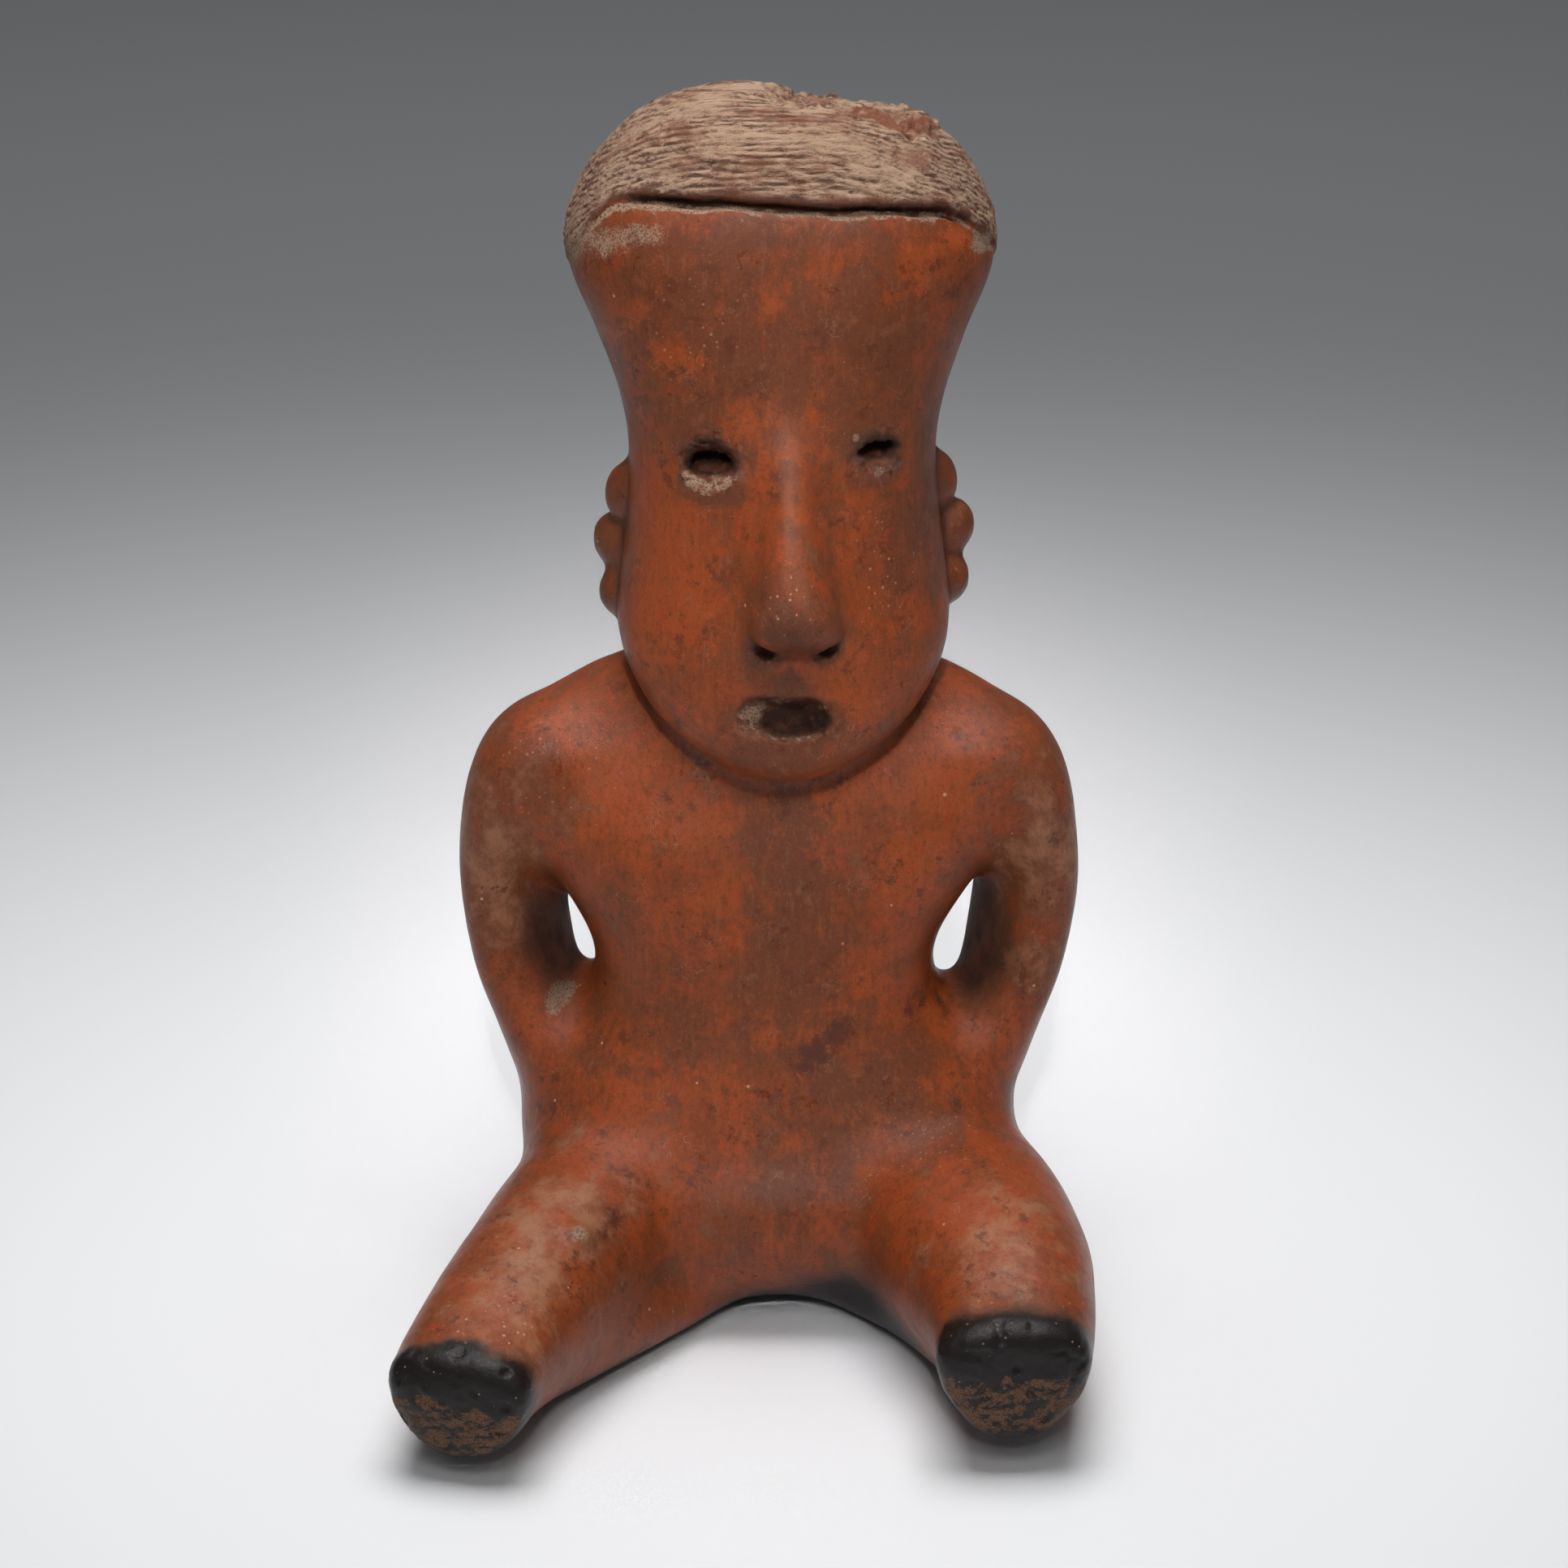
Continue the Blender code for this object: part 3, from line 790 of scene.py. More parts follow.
    def gather(self) -> dict[Trace, np.ndarray]:
        """Work out every trace.

        Returns:
            The traces, each from 0 to 1 at every point.
        """
        for trace in Trace:
            self.add(trace, np.zeros(len(self.skin.points)))
        for trace, patches in PATCHES.items():
            for middle, half, strength in patches:
                self.add(trace, strength * dab(self.skin.points, middle, half))
        self.on_head()
        self.on_ears()
        self.on_legs()
        self.in_gaps()
        # Painted shade: darker, duller colour where the surface lies below its smooth surroundings.
        sunk = self.skin.sunk(20)
        self.add(Trace.DULL_AND_SHADE, 0.8 * ramp(0.05, 0.4, sunk))
        self.add(Trace.SHADE_AND_DIRT, 0.8 * ramp(0.22, 1.3, sunk))
        return self.marks


def add_node(
    tree: bpy.types.NodeTree,
    kind: str,
    settings: dict[str, Any] | None = None,
    inputs: dict[str | int, Any] | None = None,
) -> bpy.types.Node:
    """Add a node with its settings and links.

    Args:
        tree: The material's node tree.
        kind: The node's type, without its "ShaderNode".
        settings: Its properties.
        inputs: A value or an output to link, for each input.

    Returns:
        The node.
    """
    node = tree.nodes.new("ShaderNode" + kind)
    for name, value in (settings or {}).items():
        setattr(node, name, value)
    for name, value in (inputs or {}).items():
        if isinstance(value, bpy.types.NodeSocket):
            tree.links.new(value, node.inputs[name])
        else:
            node.inputs[name].default_value = value
    return node


class Sheet:
    """A material's nodes while they are laid out, with a few joins that recur."""

    def __init__(self, name: str) -> None:
        """Start an empty material.

        Args:
            name: What the material is called.
        """
        self.material = bpy.data.materials.new(name)
        self.material.use_nodes = True
        self.tree = self.material.node_tree
        self.tree.nodes.clear()
        self.place = add_node(self.tree, "TexCoord").outputs["Object"]

    def add(self, kind: str, settings: dict[str, Any], inputs: dict[str | int, Any]) -> Any:
        """Add a node and give its first output."""
        return add_node(self.tree, kind, settings, inputs).outputs[0]

    def sums(self, how: str, first: Any, second: Any = 0.0, third: Any = 0.0) -> Any:
        """Join values by one arithmetic step."""
        return self.add("Math", {"operation": how}, {0: first, 1: second, 2: third})

    def window(self, value: Any, low: float, high: float, bottom: float = 0.0, top: float = 1.0) -> Any:
        """Ease a value from bottom at low to top at high."""
        span = {"Value": value, "From Min": low, "From Max": high, "To Min": bottom, "To Max": top}
        return self.add("MapRange", {"interpolation_type": "SMOOTHSTEP"}, span)

    def over(self, under: Any, colour: Any, share: Any) -> Any:
        """Lay one colour over another by a share."""
        settings = {"data_type": "RGBA", "clamp_factor": True}
        return add_node(self.tree, "Mix", settings, {0: share, 6: under, 7: colour}).outputs[2]

    def tint(self, under: Any, code: str, value: Any, low: float, high: float, top: float = 1.0) -> Any:
        """Lay a hex colour over another, from none of it where value is low to the share top where it is high."""
        return self.over(under, linear(code), self.window(value, low, high, 0.0, top))

    def stretched(self, scale: Triple, shift: Triple = (0, 0, 0)) -> Any:
        """Give the place on the figure, pulled out along its axes."""
        return self.add("Mapping", {}, {"Vector": self.place, "Location": shift, "Scale": scale})

    def speckle(
        self, grain_mm: float, detail: float = 3.0, rough: float = 0.55, place: Any = None, warp: float = 0.0
    ) -> Any:
        """Give soft random clouds of one grain, from 0 to 1."""
        sizes = {"Vector": place or self.place, "Scale": 1.0 / (grain_mm * MM), "Detail": detail, "Roughness": rough,
                 "Distortion": warp}
        return self.add("TexNoise", {}, sizes)

    def dots(self, apart_mm: float, radius_mm: float, place: Any = None, chance: float = 1.0) -> Any:
        """Give round dots of one spacing and size, with only a share of them there."""
        scale = 1.0 / (apart_mm * MM)
        spread = {"Vector": place or self.place, "Scale": scale, "Randomness": 1.0}
        cell = add_node(self.tree, "TexVoronoi", {"feature": "F1"}, spread)
        radius = radius_mm / apart_mm
        pick = self.add("SeparateColor", {}, {"Color": cell.outputs["Color"]})
        size = self.window(pick, 1.0 - chance, 1.0, 0.0, radius)
        return self.window(self.sums("SUBTRACT", size, cell.outputs["Distance"]), 0.0, radius * 0.4)

    def trace(self, trace: Trace) -> Any:
        """Give one of the mesh's traces."""
        return add_node(self.tree, "Attribute", {"attribute_name": trace.value}).outputs["Fac"]


@dataclass(frozen=True)
class BurnishedSlip:
    """Red iron-oxide slip over brown earthenware, rubbed with a pebble before firing.

    Iron-red slip burnishes to a soft satin gloss that follows the pebble's strokes. Fire leaves it mottled, and
    the ground leaves roots' marks, grains and silt on it. Shade is painted darker into its holes, creases and recesses.
    """

    name: str = "burnished_red_slip_earthenware"
    slip: str = "#7d3c1c"
    slip_bright: str = "#92431d"
    slip_vivid: str = "#963c18"
    slip_deep: str = "#522819"
    # Fire-cloud brown, also laid as painted shade in recesses and round the cut holes.
    cloud_brown_and_shade: str = "#603622"
    faded: str = "#9c6a4c"
    fleck: str = "#2f1b15"
    grain: str = "#bfa386"
    root_mark: str = "#a3735a"
    stain: str = "#45221c"
    # Soot black, also laid as painted shade on the undersides and in the arms' gaps.
    soot: str = "#161413"
    scorched: str = "#54392b"
    paste: str = "#81604a"
    silt: str = "#a1856e"
    silt_dark: str = "#533a2d"
    silt_red: str = "#6d4030"
    # Near-black for painted shade in holes, slits, creases, recesses and the arms' gaps, and for dark dirt.
    hollow: str = "#221811"
    fracture: str = "#70422f"
    ior: float = 1.5
    shine: float = 0.26
    cloud_mm: float = 17.0
    mottle_mm: float = 8.5
    spot_mm: float = 5.2
    blot_mm: float = 3.6
    stroke_mm: float = 1.3
    speck_mm: float = 1.7
    sand_mm: float = 0.75
    grain_mm: float = 5.5
    root_mm: float = 12.0
    clay_grit_mm: float = 0.45
    strand_mm: float = 1.1

    def fired_colour(self, sheet: Sheet) -> Any:
        """Colour the slip as the fire left it, with painted shade in its recesses and round the cut holes.

        Args:
            sheet: The material's nodes.

        Returns:
            The colour output.
        """
        bright, dull = sheet.trace(Trace.BRIGHT), sheet.trace(Trace.DULL_AND_SHADE)
        wide = sheet.sums("MULTIPLY_ADD", bright, 0.13, sheet.speckle(self.cloud_mm, 6.0, 0.62, warp=0.3))
        colour = sheet.over(linear(self.slip), linear(self.slip_bright), sheet.window(wide, 0.44, 0.62))
        patchy = sheet.speckle(self.mottle_mm, 7.0, 0.7, sheet.stretched((1, 1, 0.85), (0.3, 0.1, 0.2)), 0.15)
        # Fire clouds, and shade painted in recesses, round the cut holes and under the nose, turn the slip brown.
        lean = sheet.sums("MULTIPLY_ADD", dull, 0.26, sheet.sums("MULTIPLY_ADD", bright, -0.10, patchy))
        colour = sheet.tint(colour, self.cloud_brown_and_shade, lean, 0.49, 0.68, 0.80)
        spots = sheet.speckle(self.spot_mm, 5.0, 0.62, sheet.stretched((1, 1, 0.9), (0.6, 0.5, 0.2)), 0.4)
        spots = sheet.sums("MULTIPLY_ADD", dull, -0.12, spots)
        colour = sheet.tint(colour, self.slip_vivid, spots, 0.53, 0.66, 0.60)
        fine = sheet.speckle(self.speck_mm, 4.0, 0.7, sheet.stretched((1, 1, 0.7)))
        colour = sheet.tint(colour, self.slip_deep, fine, 0.50, 0.66, 0.36)
        sandy = sheet.speckle(self.sand_mm, 3.0, 0.75)
        colour = sheet.tint(colour, self.slip_deep, sandy, 0.52, 0.66, 0.30)
        colour = sheet.tint(colour, self.faded, sandy, 0.43, 0.30, 0.25)
        pale = sheet.sums("MULTIPLY_ADD", sheet.trace(Trace.PALE), 0.30, patchy)
        return sheet.tint(colour, self.faded, pale, 0.58, 0.84, 0.8)

    def grown_marks(self, sheet: Sheet, colour: Any) -> Any:
        """Lay the small marks over the slip: strokes, specks, grains, roots' marks and stains.

        Args:
            sheet: The material's nodes.
            colour: The fired slip.

        Returns:
            The colour output.
        """
        stroke = sheet.speckle(self.stroke_mm, 4.0, 0.7, sheet.stretched((1, 1, 0.10), (0.1, 0.4, 0)))
        colour = sheet.tint(colour, self.slip_deep, stroke, 0.50, 0.66, 0.24)
        colour = sheet.tint(colour, self.faded, stroke, 0.44, 0.30, 0.18)
        crowd = sheet.window(sheet.speckle(13.0, 3.0), 0.44, 0.60)
        fleck = sheet.sums("MULTIPLY", sheet.dots(self.speck_mm, 0.42, chance=0.45), crowd)
        colour = sheet.over(colour, linear(self.fleck), sheet.sums("MULTIPLY", fleck, 0.6))
        blur = sheet.speckle(self.blot_mm, 4.0, 0.7, sheet.stretched((1, 1, 1), (0.7, 0.2, 0.5)))
        blur = sheet.sums("MULTIPLY", sheet.window(blur, 0.54, 0.64, 0, 0.75), crowd)
        colour = sheet.over(colour, linear(self.slip_deep), blur)
        line = sheet.speckle(self.root_mm, 4.0, 0.65, sheet.stretched((1, 1, 1), (0.2, 0.9, 0.4)), 1.2)
        near = sheet.sums("ABSOLUTE", sheet.sums("SUBTRACT", line, 0.5))
        crowds = sheet.speckle(7.0, 2.0, 0.5, sheet.stretched((1, 1, 1), (0.9, 0.3, 0.1)))
        here = sheet.window(crowds, 0.50, 0.66, 0, 0.5)
        root = sheet.sums("MULTIPLY", sheet.window(near, 0.008, 0.0), here)
        colour = sheet.over(colour, linear(self.root_mark), root)
        grain = sheet.dots(self.grain_mm, 0.5, sheet.stretched((1, 1, 1), (0.4, 0.4, 0.4)), 0.5)
        gritty = sheet.sums("MULTIPLY", sheet.dots(1.4, 0.42, chance=0.8), sheet.trace(Trace.GRIT))
        grain = sheet.sums("MAXIMUM", grain, gritty)
        colour = sheet.over(colour, linear(self.grain), sheet.sums("MULTIPLY", grain, 0.7))
        ragged = sheet.speckle(3.2, 6.0, 0.75, warp=0.6)
        stain = sheet.window(sheet.sums("MULTIPLY_ADD", sheet.trace(Trace.STAIN), 0.42, ragged), 0.66, 0.84, 0, 0.75)
        return sheet.over(colour, linear(self.stain), stain)

    def dusty_hair(self, sheet: Sheet, ragged: Any) -> Any:
        """Colour the combed hair: silt dried on it, darker along the scratches between the strands and in small pits.

        Args:
            sheet: The material's nodes.
            ragged: Clouds that break the silt up.

        Returns:
            The colour output.
        """
        strand = sheet.trace(Trace.STRAND)
        hairs = sheet.speckle(self.strand_mm, 5.0, 0.8, sheet.stretched((0.16, 0.9, 1.0), (0.2, 0.1, 0.3)), 0.5)
        thin = sheet.sums("MULTIPLY_ADD", strand, 0.34, sheet.sums("MULTIPLY_ADD", hairs, 1.5, -0.16))
        dusty = sheet.over(linear(self.silt_dark), linear(self.silt), sheet.window(thin, 0.58, 0.92, 0.0, 1.0))
        bare = sheet.speckle(6.5, 5.0, 0.7, sheet.stretched((0.55, 1, 1), (0.5, 0.7, 0.2)), 0.4)
        dusty = sheet.tint(dusty, self.silt_red, bare, 0.47, 0.64, 0.7)
        pits = sheet.dots(1.5, 0.42, sheet.stretched((0.5, 1, 1)), 0.7)
        dusty = sheet.over(dusty, linear(self.silt_dark), sheet.sums("MULTIPLY", pits, 0.7))
        return sheet.tint(dusty, self.grain, ragged, 0.58, 0.75, 0.45)

    def build(self) -> bpy.types.Material:
        """Build the material.

        Returns:
            The material.
        """
        sheet = Sheet(self.name)
        colour = self.grown_marks(sheet, self.fired_colour(sheet))
        ragged = sheet.speckle(3.0, 5.0, 0.7, warp=0.5)
        fine = sheet.speckle(self.clay_grit_mm, 4.0, 0.7)
        granular = sheet.window(fine, 0.35, 0.65)
        # Soot, and painted shade on the undersides and in the arms' gaps, go scorched brown, then black.
        black = sheet.sums("MULTIPLY_ADD", ragged, 0.55, sheet.trace(Trace.SOOT_AND_SHADE))
        colour = sheet.tint(colour, self.scorched, black, 0.36, 0.78, 0.8)
        soot = sheet.window(black, 0.62, 1.05)
        colour = sheet.over(colour, linear(self.soot), sheet.sums("MULTIPLY", soot, 0.97))
        streaks = sheet.speckle(2.8, 6.0, 0.75, sheet.stretched((0.7, 1, 1.25)), 0.6)
        worn = sheet.window(sheet.sums("MULTIPLY_ADD", sheet.trace(Trace.WORN), 0.40, streaks), 0.86, 0.93, 0, 0.9)
        ashy = sheet.sums("MULTIPLY", sheet.dots(1.6, 0.34, chance=0.5), sheet.sums("MULTIPLY", soot, 0.6))
        colour = sheet.over(colour, linear(self.silt), ashy)
        rubbed = sheet.over(linear(self.scorched), linear(self.paste), sheet.window(fine, 0.36, 0.58))
        colour = sheet.over(colour, rubbed, worn)
        # Painted shade and dark dirt: near-black by the hollow trace.
        hollow = sheet.trace(Trace.SHADE_AND_DIRT)
        colour = sheet.over(colour, linear(self.hollow), sheet.sums("MULTIPLY", hollow, 0.88))
        hair, broken = sheet.trace(Trace.HAIR), sheet.trace(Trace.BREAK)
        colour = sheet.over(colour, self.dusty_hair(sheet, ragged), hair)
        rough_clay = sheet.over(linear(self.fracture), linear(self.silt), sheet.window(ragged, 0.50, 0.70, 0, 0.75))
        rough_clay = sheet.tint(rough_clay, self.silt_dark, fine, 0.52, 0.75, 0.6)
        colour = sheet.over(colour, rough_clay, broken)
        caked = sheet.sums("MULTIPLY_ADD", ragged, 0.6, sheet.trace(Trace.CRUST))
        crust = sheet.window(sheet.sums("MULTIPLY_ADD", fine, 0.35, caked), 0.86, 1.06)
        dirt = sheet.over(linear(self.silt_dark), linear(self.silt), sheet.window(fine, 0.34, 0.56))
        # Silt goes darker where shade is painted.
        dirt = sheet.over(dirt, linear(self.hollow), sheet.sums("MULTIPLY", hollow, 0.55))
        colour = sheet.over(colour, dirt, sheet.sums("MULTIPLY", crust, 0.9))
        dry = sheet.sums("MAXIMUM", sheet.sums("MAXIMUM", hair, broken), sheet.sums("MAXIMUM", crust, worn))
        dry = sheet.sums("MAXIMUM", dry, sheet.sums("MULTIPLY", hollow, 0.9))
        satin = sheet.window(sheet.speckle(8.0, 5.0, 0.7), 0.3, 0.7, 0.27, 0.44)
        gloss = sheet.over(satin, (0.32, 0.32, 0.32, 1.0), soot)
        rough = sheet.over(gloss, (0.9, 0.9, 0.9, 1.0), dry)
        relief = sheet.sums("MULTIPLY", granular, sheet.sums("MULTIPLY_ADD", dry, 1.4, 0.2))
        stroke = sheet.speckle(self.stroke_mm, 3.0, 0.6, sheet.stretched((1, 1, 0.10), (0.1, 0.4, 0)))
        relief = sheet.sums("MULTIPLY_ADD", stroke, 0.4, sheet.sums("MULTIPLY_ADD", ragged, 0.5, relief))
        bump = sheet.add("Bump", {}, {"Strength": 0.55, "Distance": 0.3 * MM, "Height": relief})
        surface = {
            "Base Color": colour, "Roughness": rough, "IOR": self.ior, "Specular IOR Level": self.shine, "Normal": bump,
        }
        shader = sheet.add("BsdfPrincipled", {}, surface)
        add_node(sheet.tree, "OutputMaterial", {}, {"Surface": shader})
        return sheet.material


@dataclass
class SeatedFigure:
    """The whole figure: one hollow body built by hand and fired in one piece."""

    coarse_voxel: float = 1.0
    fine_voxel: float = 0.5
    coarse_rounds: int = 36
    sole_rounds: int = 50
    fine_rounds: int = 8
    most_triangles: int = 190000
    hair: HairCap = field(default_factory=HairCap)
    slit: HairLine = field(default_factory=HairLine)
    crown: BrokenCrown = field(default_factory=BrokenCrown)
    modelling: HandModelling = field(default_factory=HandModelling)
    cuts: tuple[CutFeature, ...] = (
        # The right eye.
        CutFeature(
            hole=(-16.8, -29, 207.0), hole_half=(4.5, 6.5, 2.2), dish=(-17.6, -33, 208.0), dish_half=(7.8, 5.5, 6.6),
            rim_height=0.55, crumble=0.42, silt=0.88, seed=50, sink=2.8, infill=0.9, press=0.7, silt_above=0.6,
        ),
        # The left eye.
        CutFeature(
            hole=(19.5, -31, 210), hole_half=(4.4, 6.0, 1.8), dish=(19.0, -32.5, 209.8), dish_half=(6.6, 5.0, 5.2),
            rim_height=0.45, crumble=0.4, silt=0.75, seed=54, sink=2.0, infill=1.3, press=0.3, silt_above=0.3,
        ),
        # The mouth.
        CutFeature(
            hole=(0.6, -38, 151.2), hole_half=(7.4, 5.0, 2.9), dish=(-1.2, -39.5, 152.2), dish_half=(10.2, 5.5, 5.0),
            rim_height=0.2, crumble=0.42, silt=0.76, seed=58, sink=1.8, infill=0.0, press=0.2, silt_above=1.0,
        ),
        # The right nostril.
        CutFeature(
            hole=(-6.2, -42, 168), hole_half=(2.6, 3.2, 2.0), dish=(-6.4, -43, 167.6), dish_half=(4.0, 4.2, 3.6),
            rim_height=0.0, crumble=0.32, silt=0.7, seed=62, sink=2.0, infill=0.0, press=0.3, silt_above=0.9,
        ),
        # The left nostril.
        CutFeature(
            hole=(8.2, -42, 168.2), hole_half=(2.4, 3.0, 1.8), dish=(8.4, -42.5, 168), dish_half=(3.4, 4.0, 3.0),
            rim_height=0.0, crumble=0.3, silt=0.6, seed=66, sink=2.0, infill=0.0, press=0.3, silt_above=0.8,
        ),
    )
    soles: tuple[Sole, ...] = (
        Sole(middle=(53.5, -101, 20), facing=(0.05, -1, 0), lip_height=0.25, seed=60, soot_reach=10.0, worn_below=-5.0),
        Sole(
            middle=(-65.5, -104.5, 18), facing=(-0.22, -1, 0), lip_height=0.25, seed=65, soot_reach=9.0, worn_below=-2.5
        ),
    )
    pellets: tuple[Triple, ...] = (
        (-34.8, -3, 192.5), (-37, 1, 180.2), (-36.2, -2, 168.5), (34.9, -1, 194), (38.2, 2, 181.8), (37.2, -1, 170),
    )

    def changed(self, mesh: bpy.types.Mesh, kind: str, settings: dict[str, Any]) -> bpy.types.Mesh:
        """Give a mesh as a modifier leaves it.

        Args:
            mesh: The mesh to start from.
            kind: The modifier's type.
            settings: Its properties.

        Returns:
            The new mesh.
        """
        holder = bpy.data.objects.new("changing", mesh)
        bpy.context.scene.collection.objects.link(holder)
        change = holder.modifiers.new("Change", kind)
        for name, value in settings.items():
            setattr(change, name, value)
        graph = bpy.context.evaluated_depsgraph_get()
        made = bpy.data.meshes.new_from_object(holder.evaluated_get(graph))
        bpy.data.objects.remove(holder)
        return made

    def resampled(self, mesh: bpy.types.Mesh, voxel: float) -> bpy.types.Mesh:
        """Give a closed mesh as even small faces, of a size in millimetres."""
        return self.changed(mesh, "REMESH", {"mode": "VOXEL", "voxel_size": voxel * MM})

    def thinned(self, mesh: bpy.types.Mesh) -> bpy.types.Mesh:
        """Give a mesh with fewer faces where it is smooth, at most so many triangles in all."""
        ratio = min(1.0, self.most_triangles / (2.0 * len(mesh.polygons)))
        return self.changed(mesh, "DECIMATE", {"ratio": ratio})

    def softness(self, skin: Skin) -> np.ndarray:
        """Tell where the first smoothing may work fully, and where a crisp form stops it.

        Args:
            skin: The surface.

        Returns:
            1 on open surfaces, down to 0.1 at slots, pellets, the break and the bottom next to the floor, and a little
            below 1 at the soles.
        """
        head = skin.in_head()
        crisp = np.zeros(len(head))
        for cut in self.cuts:
            crisp = np.maximum(crisp, ramp(1.8, 1.1, cut.in_dish(head)))
        for pellet in self.pellets:
            crisp = np.maximum(crisp, ramp(2.0, 1.4, away_from(head, pellet, PELLET_REACH)))
        crisp = np.maximum(crisp, self.crown.inside(skin))
        for sole in self.soles:
            crisp = np.maximum(crisp, 0.05 * sole.here(skin.points))
        crisp = np.maximum(crisp, ramp(4.0, 1.0, skin.points[:, 2]))
        return 1.0 - 0.9 * crisp

    def mesh(self) -> bpy.types.Mesh:
        """Shape the figure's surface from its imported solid.

        Returns:
            The mesh, in metres, with the traces on it.
        """
        rough = self.resampled(frame["nodes"][SOLID].data.copy(), self.coarse_voxel)
        skin = Skin.read(rough)
        skin.relax(self.coarse_rounds, 0.5 * self.softness(skin))
        ends = sum(sole.here(skin.points) * ramp(14.0, 7.0, sole.behind(skin.points)) for sole in self.soles)
        skin.relax(self.sole_rounds, 0.5 * ends)
        skin.turn_out(rough)
        log.info("smoothed body: %d points", len(skin.points))
        even = self.resampled(rough, self.fine_voxel)
        skin = Skin.read(even)
        skin.relax(self.fine_rounds, 0.5)
        skin.turn_out(even)
        skin.raise_by(self.modelling.shape(skin))
        skin.turn_out(even)
        heights = self.slit.shape(skin) + self.crown.shape(skin)
        for feature in self.cuts + self.soles:
            heights += feature.shape(skin)
        heights += self.hair.shape(skin) * (1.0 - self.crown.inside(skin))
        skin.raise_by(heights)
        skin.points[:, 2] = np.maximum(skin.points[:, 2], 0.0)
        skin.turn_out(even)
        log.info("detailed surface: %d points", len(skin.points))
        final = self.thinned(even)
        self.write_traces(final)
        return final

    def write_traces(self, mesh: bpy.types.Mesh) -> None:
        """Keep the traces on the mesh, for its material.

        Args:
            mesh: The finished mesh.
        """
        skin = Skin.read(mesh)
        marks = Weathering(skin, self.hair, self.slit, self.crown, self.cuts, self.soles, self.pellets).gather()
        for trace, values in marks.items():
            kept = mesh.attributes.new(trace.value, "FLOAT", "POINT")
            kept.data.foreach_set("value", values.astype(np.float32))

    def build(self) -> bpy.types.Object:
        """Make the piece, dress it and join it to the frame.

        Returns:
            The piece.
        """
        mesh = self.mesh()
        mesh.name = PIECE
        mesh.materials.clear()
        mesh.materials.append(BurnishedSlip().build())
        mesh.polygons.foreach_set("use_smooth", [True] * len(mesh.polygons))
        piece = bpy.data.objects.new(PIECE, mesh)
        bpy.context.scene.collection.objects.link(piece)
        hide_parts(SOLID)
        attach(piece, BODY)
        log.info("%s: %d points, %d faces", PIECE, len(mesh.vertices), len(mesh.polygons))
        return piece


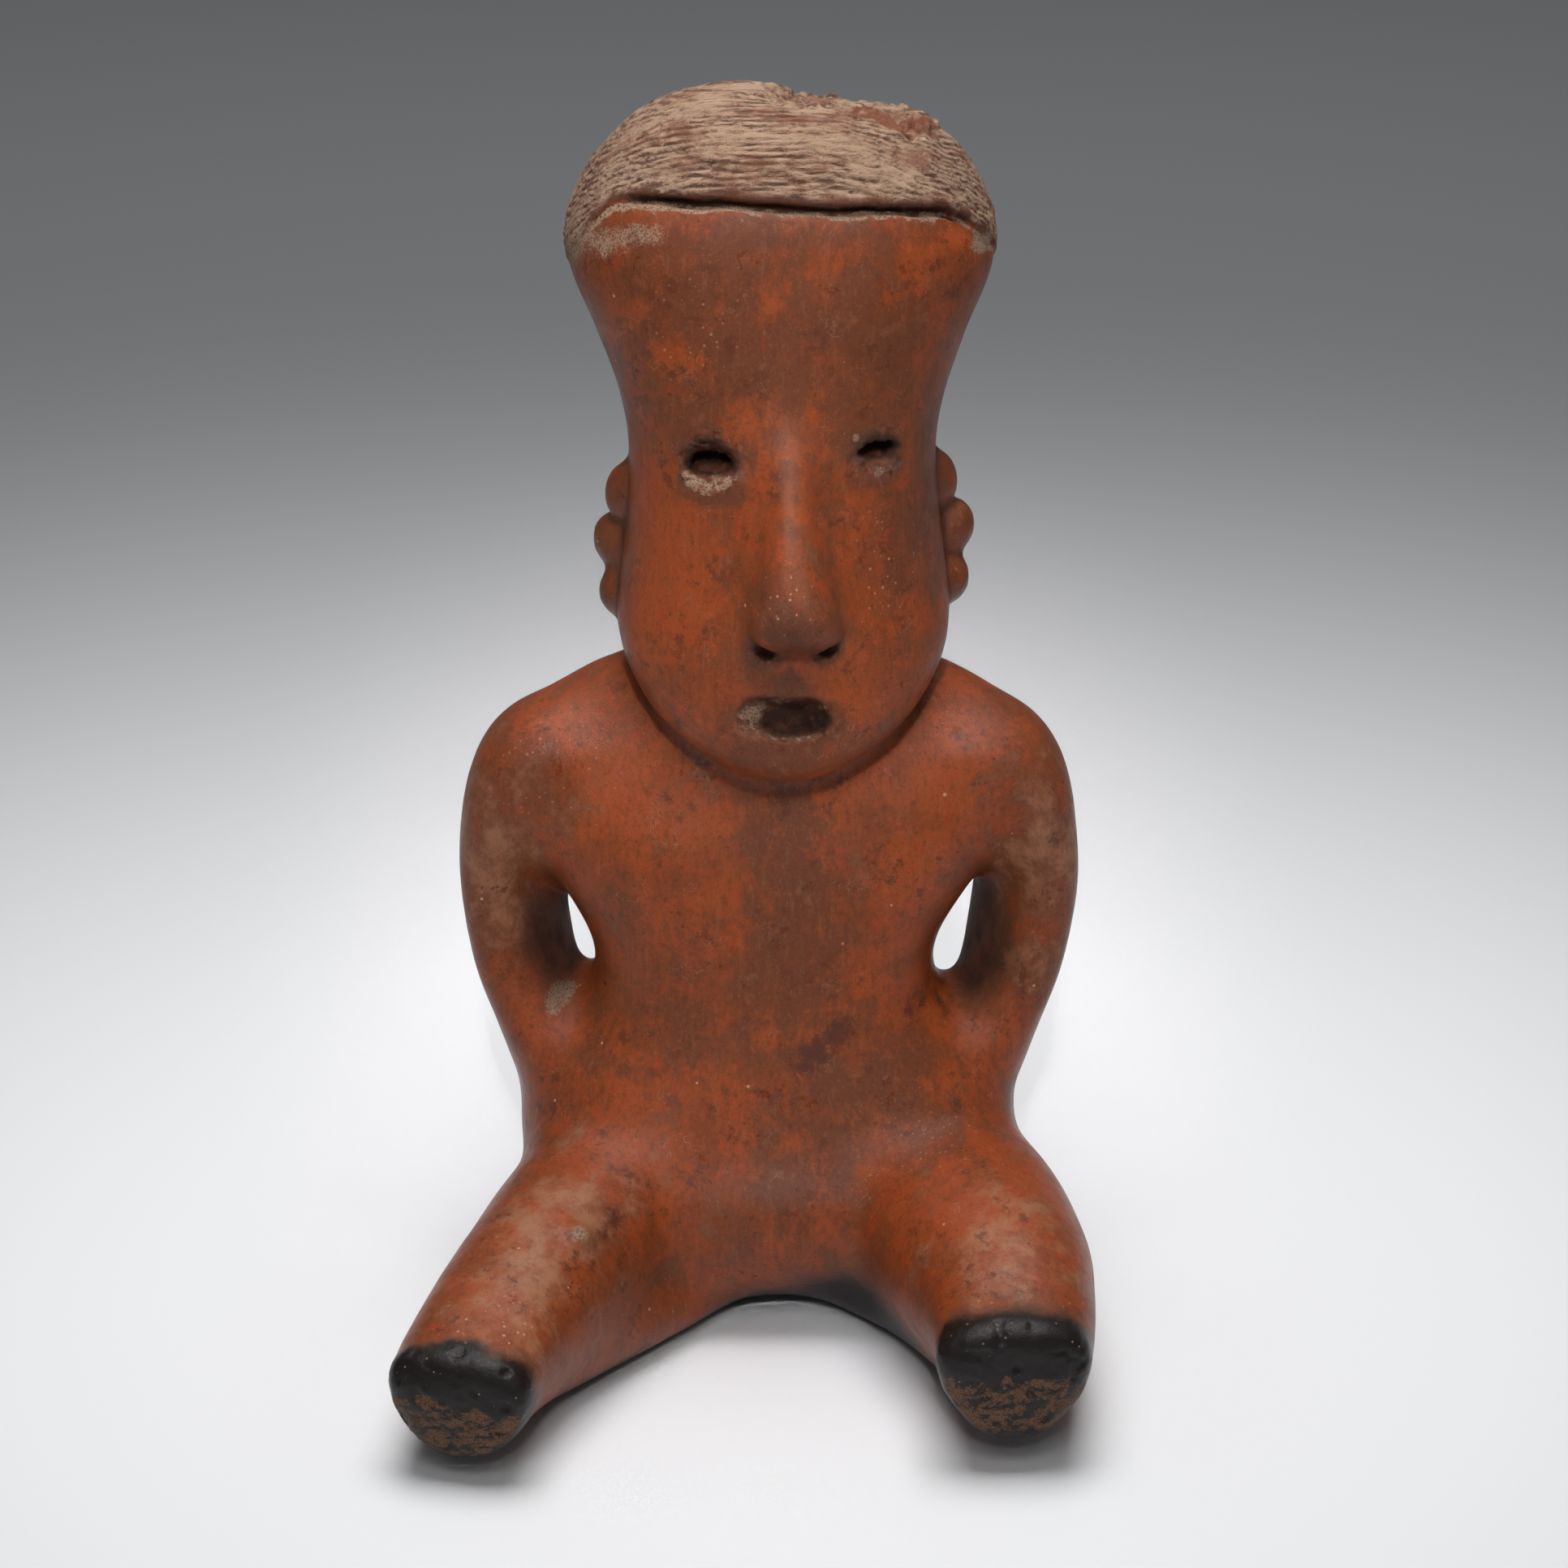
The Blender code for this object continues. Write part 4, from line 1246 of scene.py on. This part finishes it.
@dataclass
class Studio:
    """The pale floor, the soft light and the camera at the photograph's angle."""

    floor_half: float = 6000.0
    floor_colour: str = "#e9eaec"
    lens: float = 85.389
    sensor: float = 36.0
    distance: float = 850.0
    elevation: float = math.radians(23.0)
    looks_at: Triple = (4.0, 0.0, 120.414)
    glow_colour: str = "#fafbff"
    glow_strength: float = 0.085

    def floor(self) -> bpy.types.Object:
        """Lay the floor: matt painted board.

        Returns:
            The floor.
        """
        half = self.floor_half * MM
        mesh = bpy.data.meshes.new("studio_floor")
        mesh.from_pydata([(-half, -half, 0), (half, -half, 0), (half, half, 0), (-half, half, 0)], [], [(0, 1, 2, 3)])
        sheet = Sheet("matt_painted_board")
        shader = sheet.add("BsdfPrincipled", {}, {"Base Color": linear(self.floor_colour), "Roughness": 0.85})
        add_node(sheet.tree, "OutputMaterial", {}, {"Surface": shader})
        mesh.materials.append(sheet.material)
        floor = bpy.data.objects.new("studio_floor", mesh)
        bpy.context.scene.collection.objects.link(floor)
        floor.location.z = -0.02 * MM
        return floor

    def light(
        self,
        name: str,
        place: Triple,
        size: tuple[float, float],
        power: float,
        spread: float = 180.0,
        aim: Triple = (0.0, 0.0, 0.12),
    ) -> None:
        """Hang a soft box.

        Args:
            name: What it is called.
            place: Where it hangs, in metres.
            size: Its width and length, in metres.
            power: Its power, in watts.
            spread: How widely its grid lets the light out, in degrees.
            aim: What it faces, in metres.
        """
        lamp = bpy.data.lights.new(name, "AREA")
        lamp.shape = "RECTANGLE"
        lamp.size, lamp.size_y = size
        lamp.energy = power
        lamp.spread = math.radians(spread)
        holder = bpy.data.objects.new(name, lamp)
        holder.location = place
        holder.rotation_mode = "QUATERNION"
        holder.rotation_quaternion = (Vector(aim) - Vector(place)).to_track_quat("-Z", "Y")
        bpy.context.scene.collection.objects.link(holder)

    def lights(self) -> None:
        """Hang the lights and set the room's own glow."""
        self.light("overhead_softbox", (0.0, 0.0, 0.88), (0.55, 0.55), 1.6, 74.0, (0.0, 0.0, 0.0))
        self.light("rear_softbox", (0.0, 0.8, 1.3), (1.0, 0.8), 1.6, 180.0, (0.0, 0.8, 0.0))
        self.light("front_softbox", (0.0, -0.85, 1.15), (0.5, 0.4), 2.9)
        self.light("face_strip", (0.0, -1.15, 1.07), (0.06, 0.25), 0.075, 10.0, (0.0, -0.04, 0.19))
        world = bpy.data.worlds.new("studio")
        world.use_nodes = True
        world.node_tree.nodes["Background"].inputs[0].default_value = linear(self.glow_colour)
        world.node_tree.nodes["Background"].inputs[1].default_value = self.glow_strength
        bpy.context.scene.world = world
        bpy.context.scene.view_settings.view_transform = "Standard"

    def camera(self) -> bpy.types.Object:
        """Set up the camera.

        Returns:
            The camera.
        """
        data = bpy.data.cameras.new("camera")
        data.lens, data.sensor_width = self.lens, self.sensor
        data.clip_start, data.clip_end = 0.01, 50.0
        camera = bpy.data.objects.new("camera", data)
        back = Vector((0, -math.cos(self.elevation), math.sin(self.elevation)))
        camera.location = Vector(self.looks_at) * MM + back * self.distance * MM
        camera.rotation_mode = "QUATERNION"
        camera.rotation_quaternion = (-back).to_track_quat("-Z", "Y")
        bpy.context.scene.collection.objects.link(camera)
        bpy.context.scene.camera = camera
        return camera

    def build(self) -> None:
        """Set up the whole studio."""
        self.camera()
        self.floor()
        self.lights()


def main() -> None:
    logging.basicConfig(level=logging.INFO, format="%(name)s: %(message)s")
    for obj in [o for o in bpy.data.objects if o.name in ("Cube", "Light", "Camera")]:
        bpy.data.objects.remove(obj)
    Studio().build()
    log.info("studio ready")
    SeatedFigure().build()


if __name__ == "__main__":
    main()
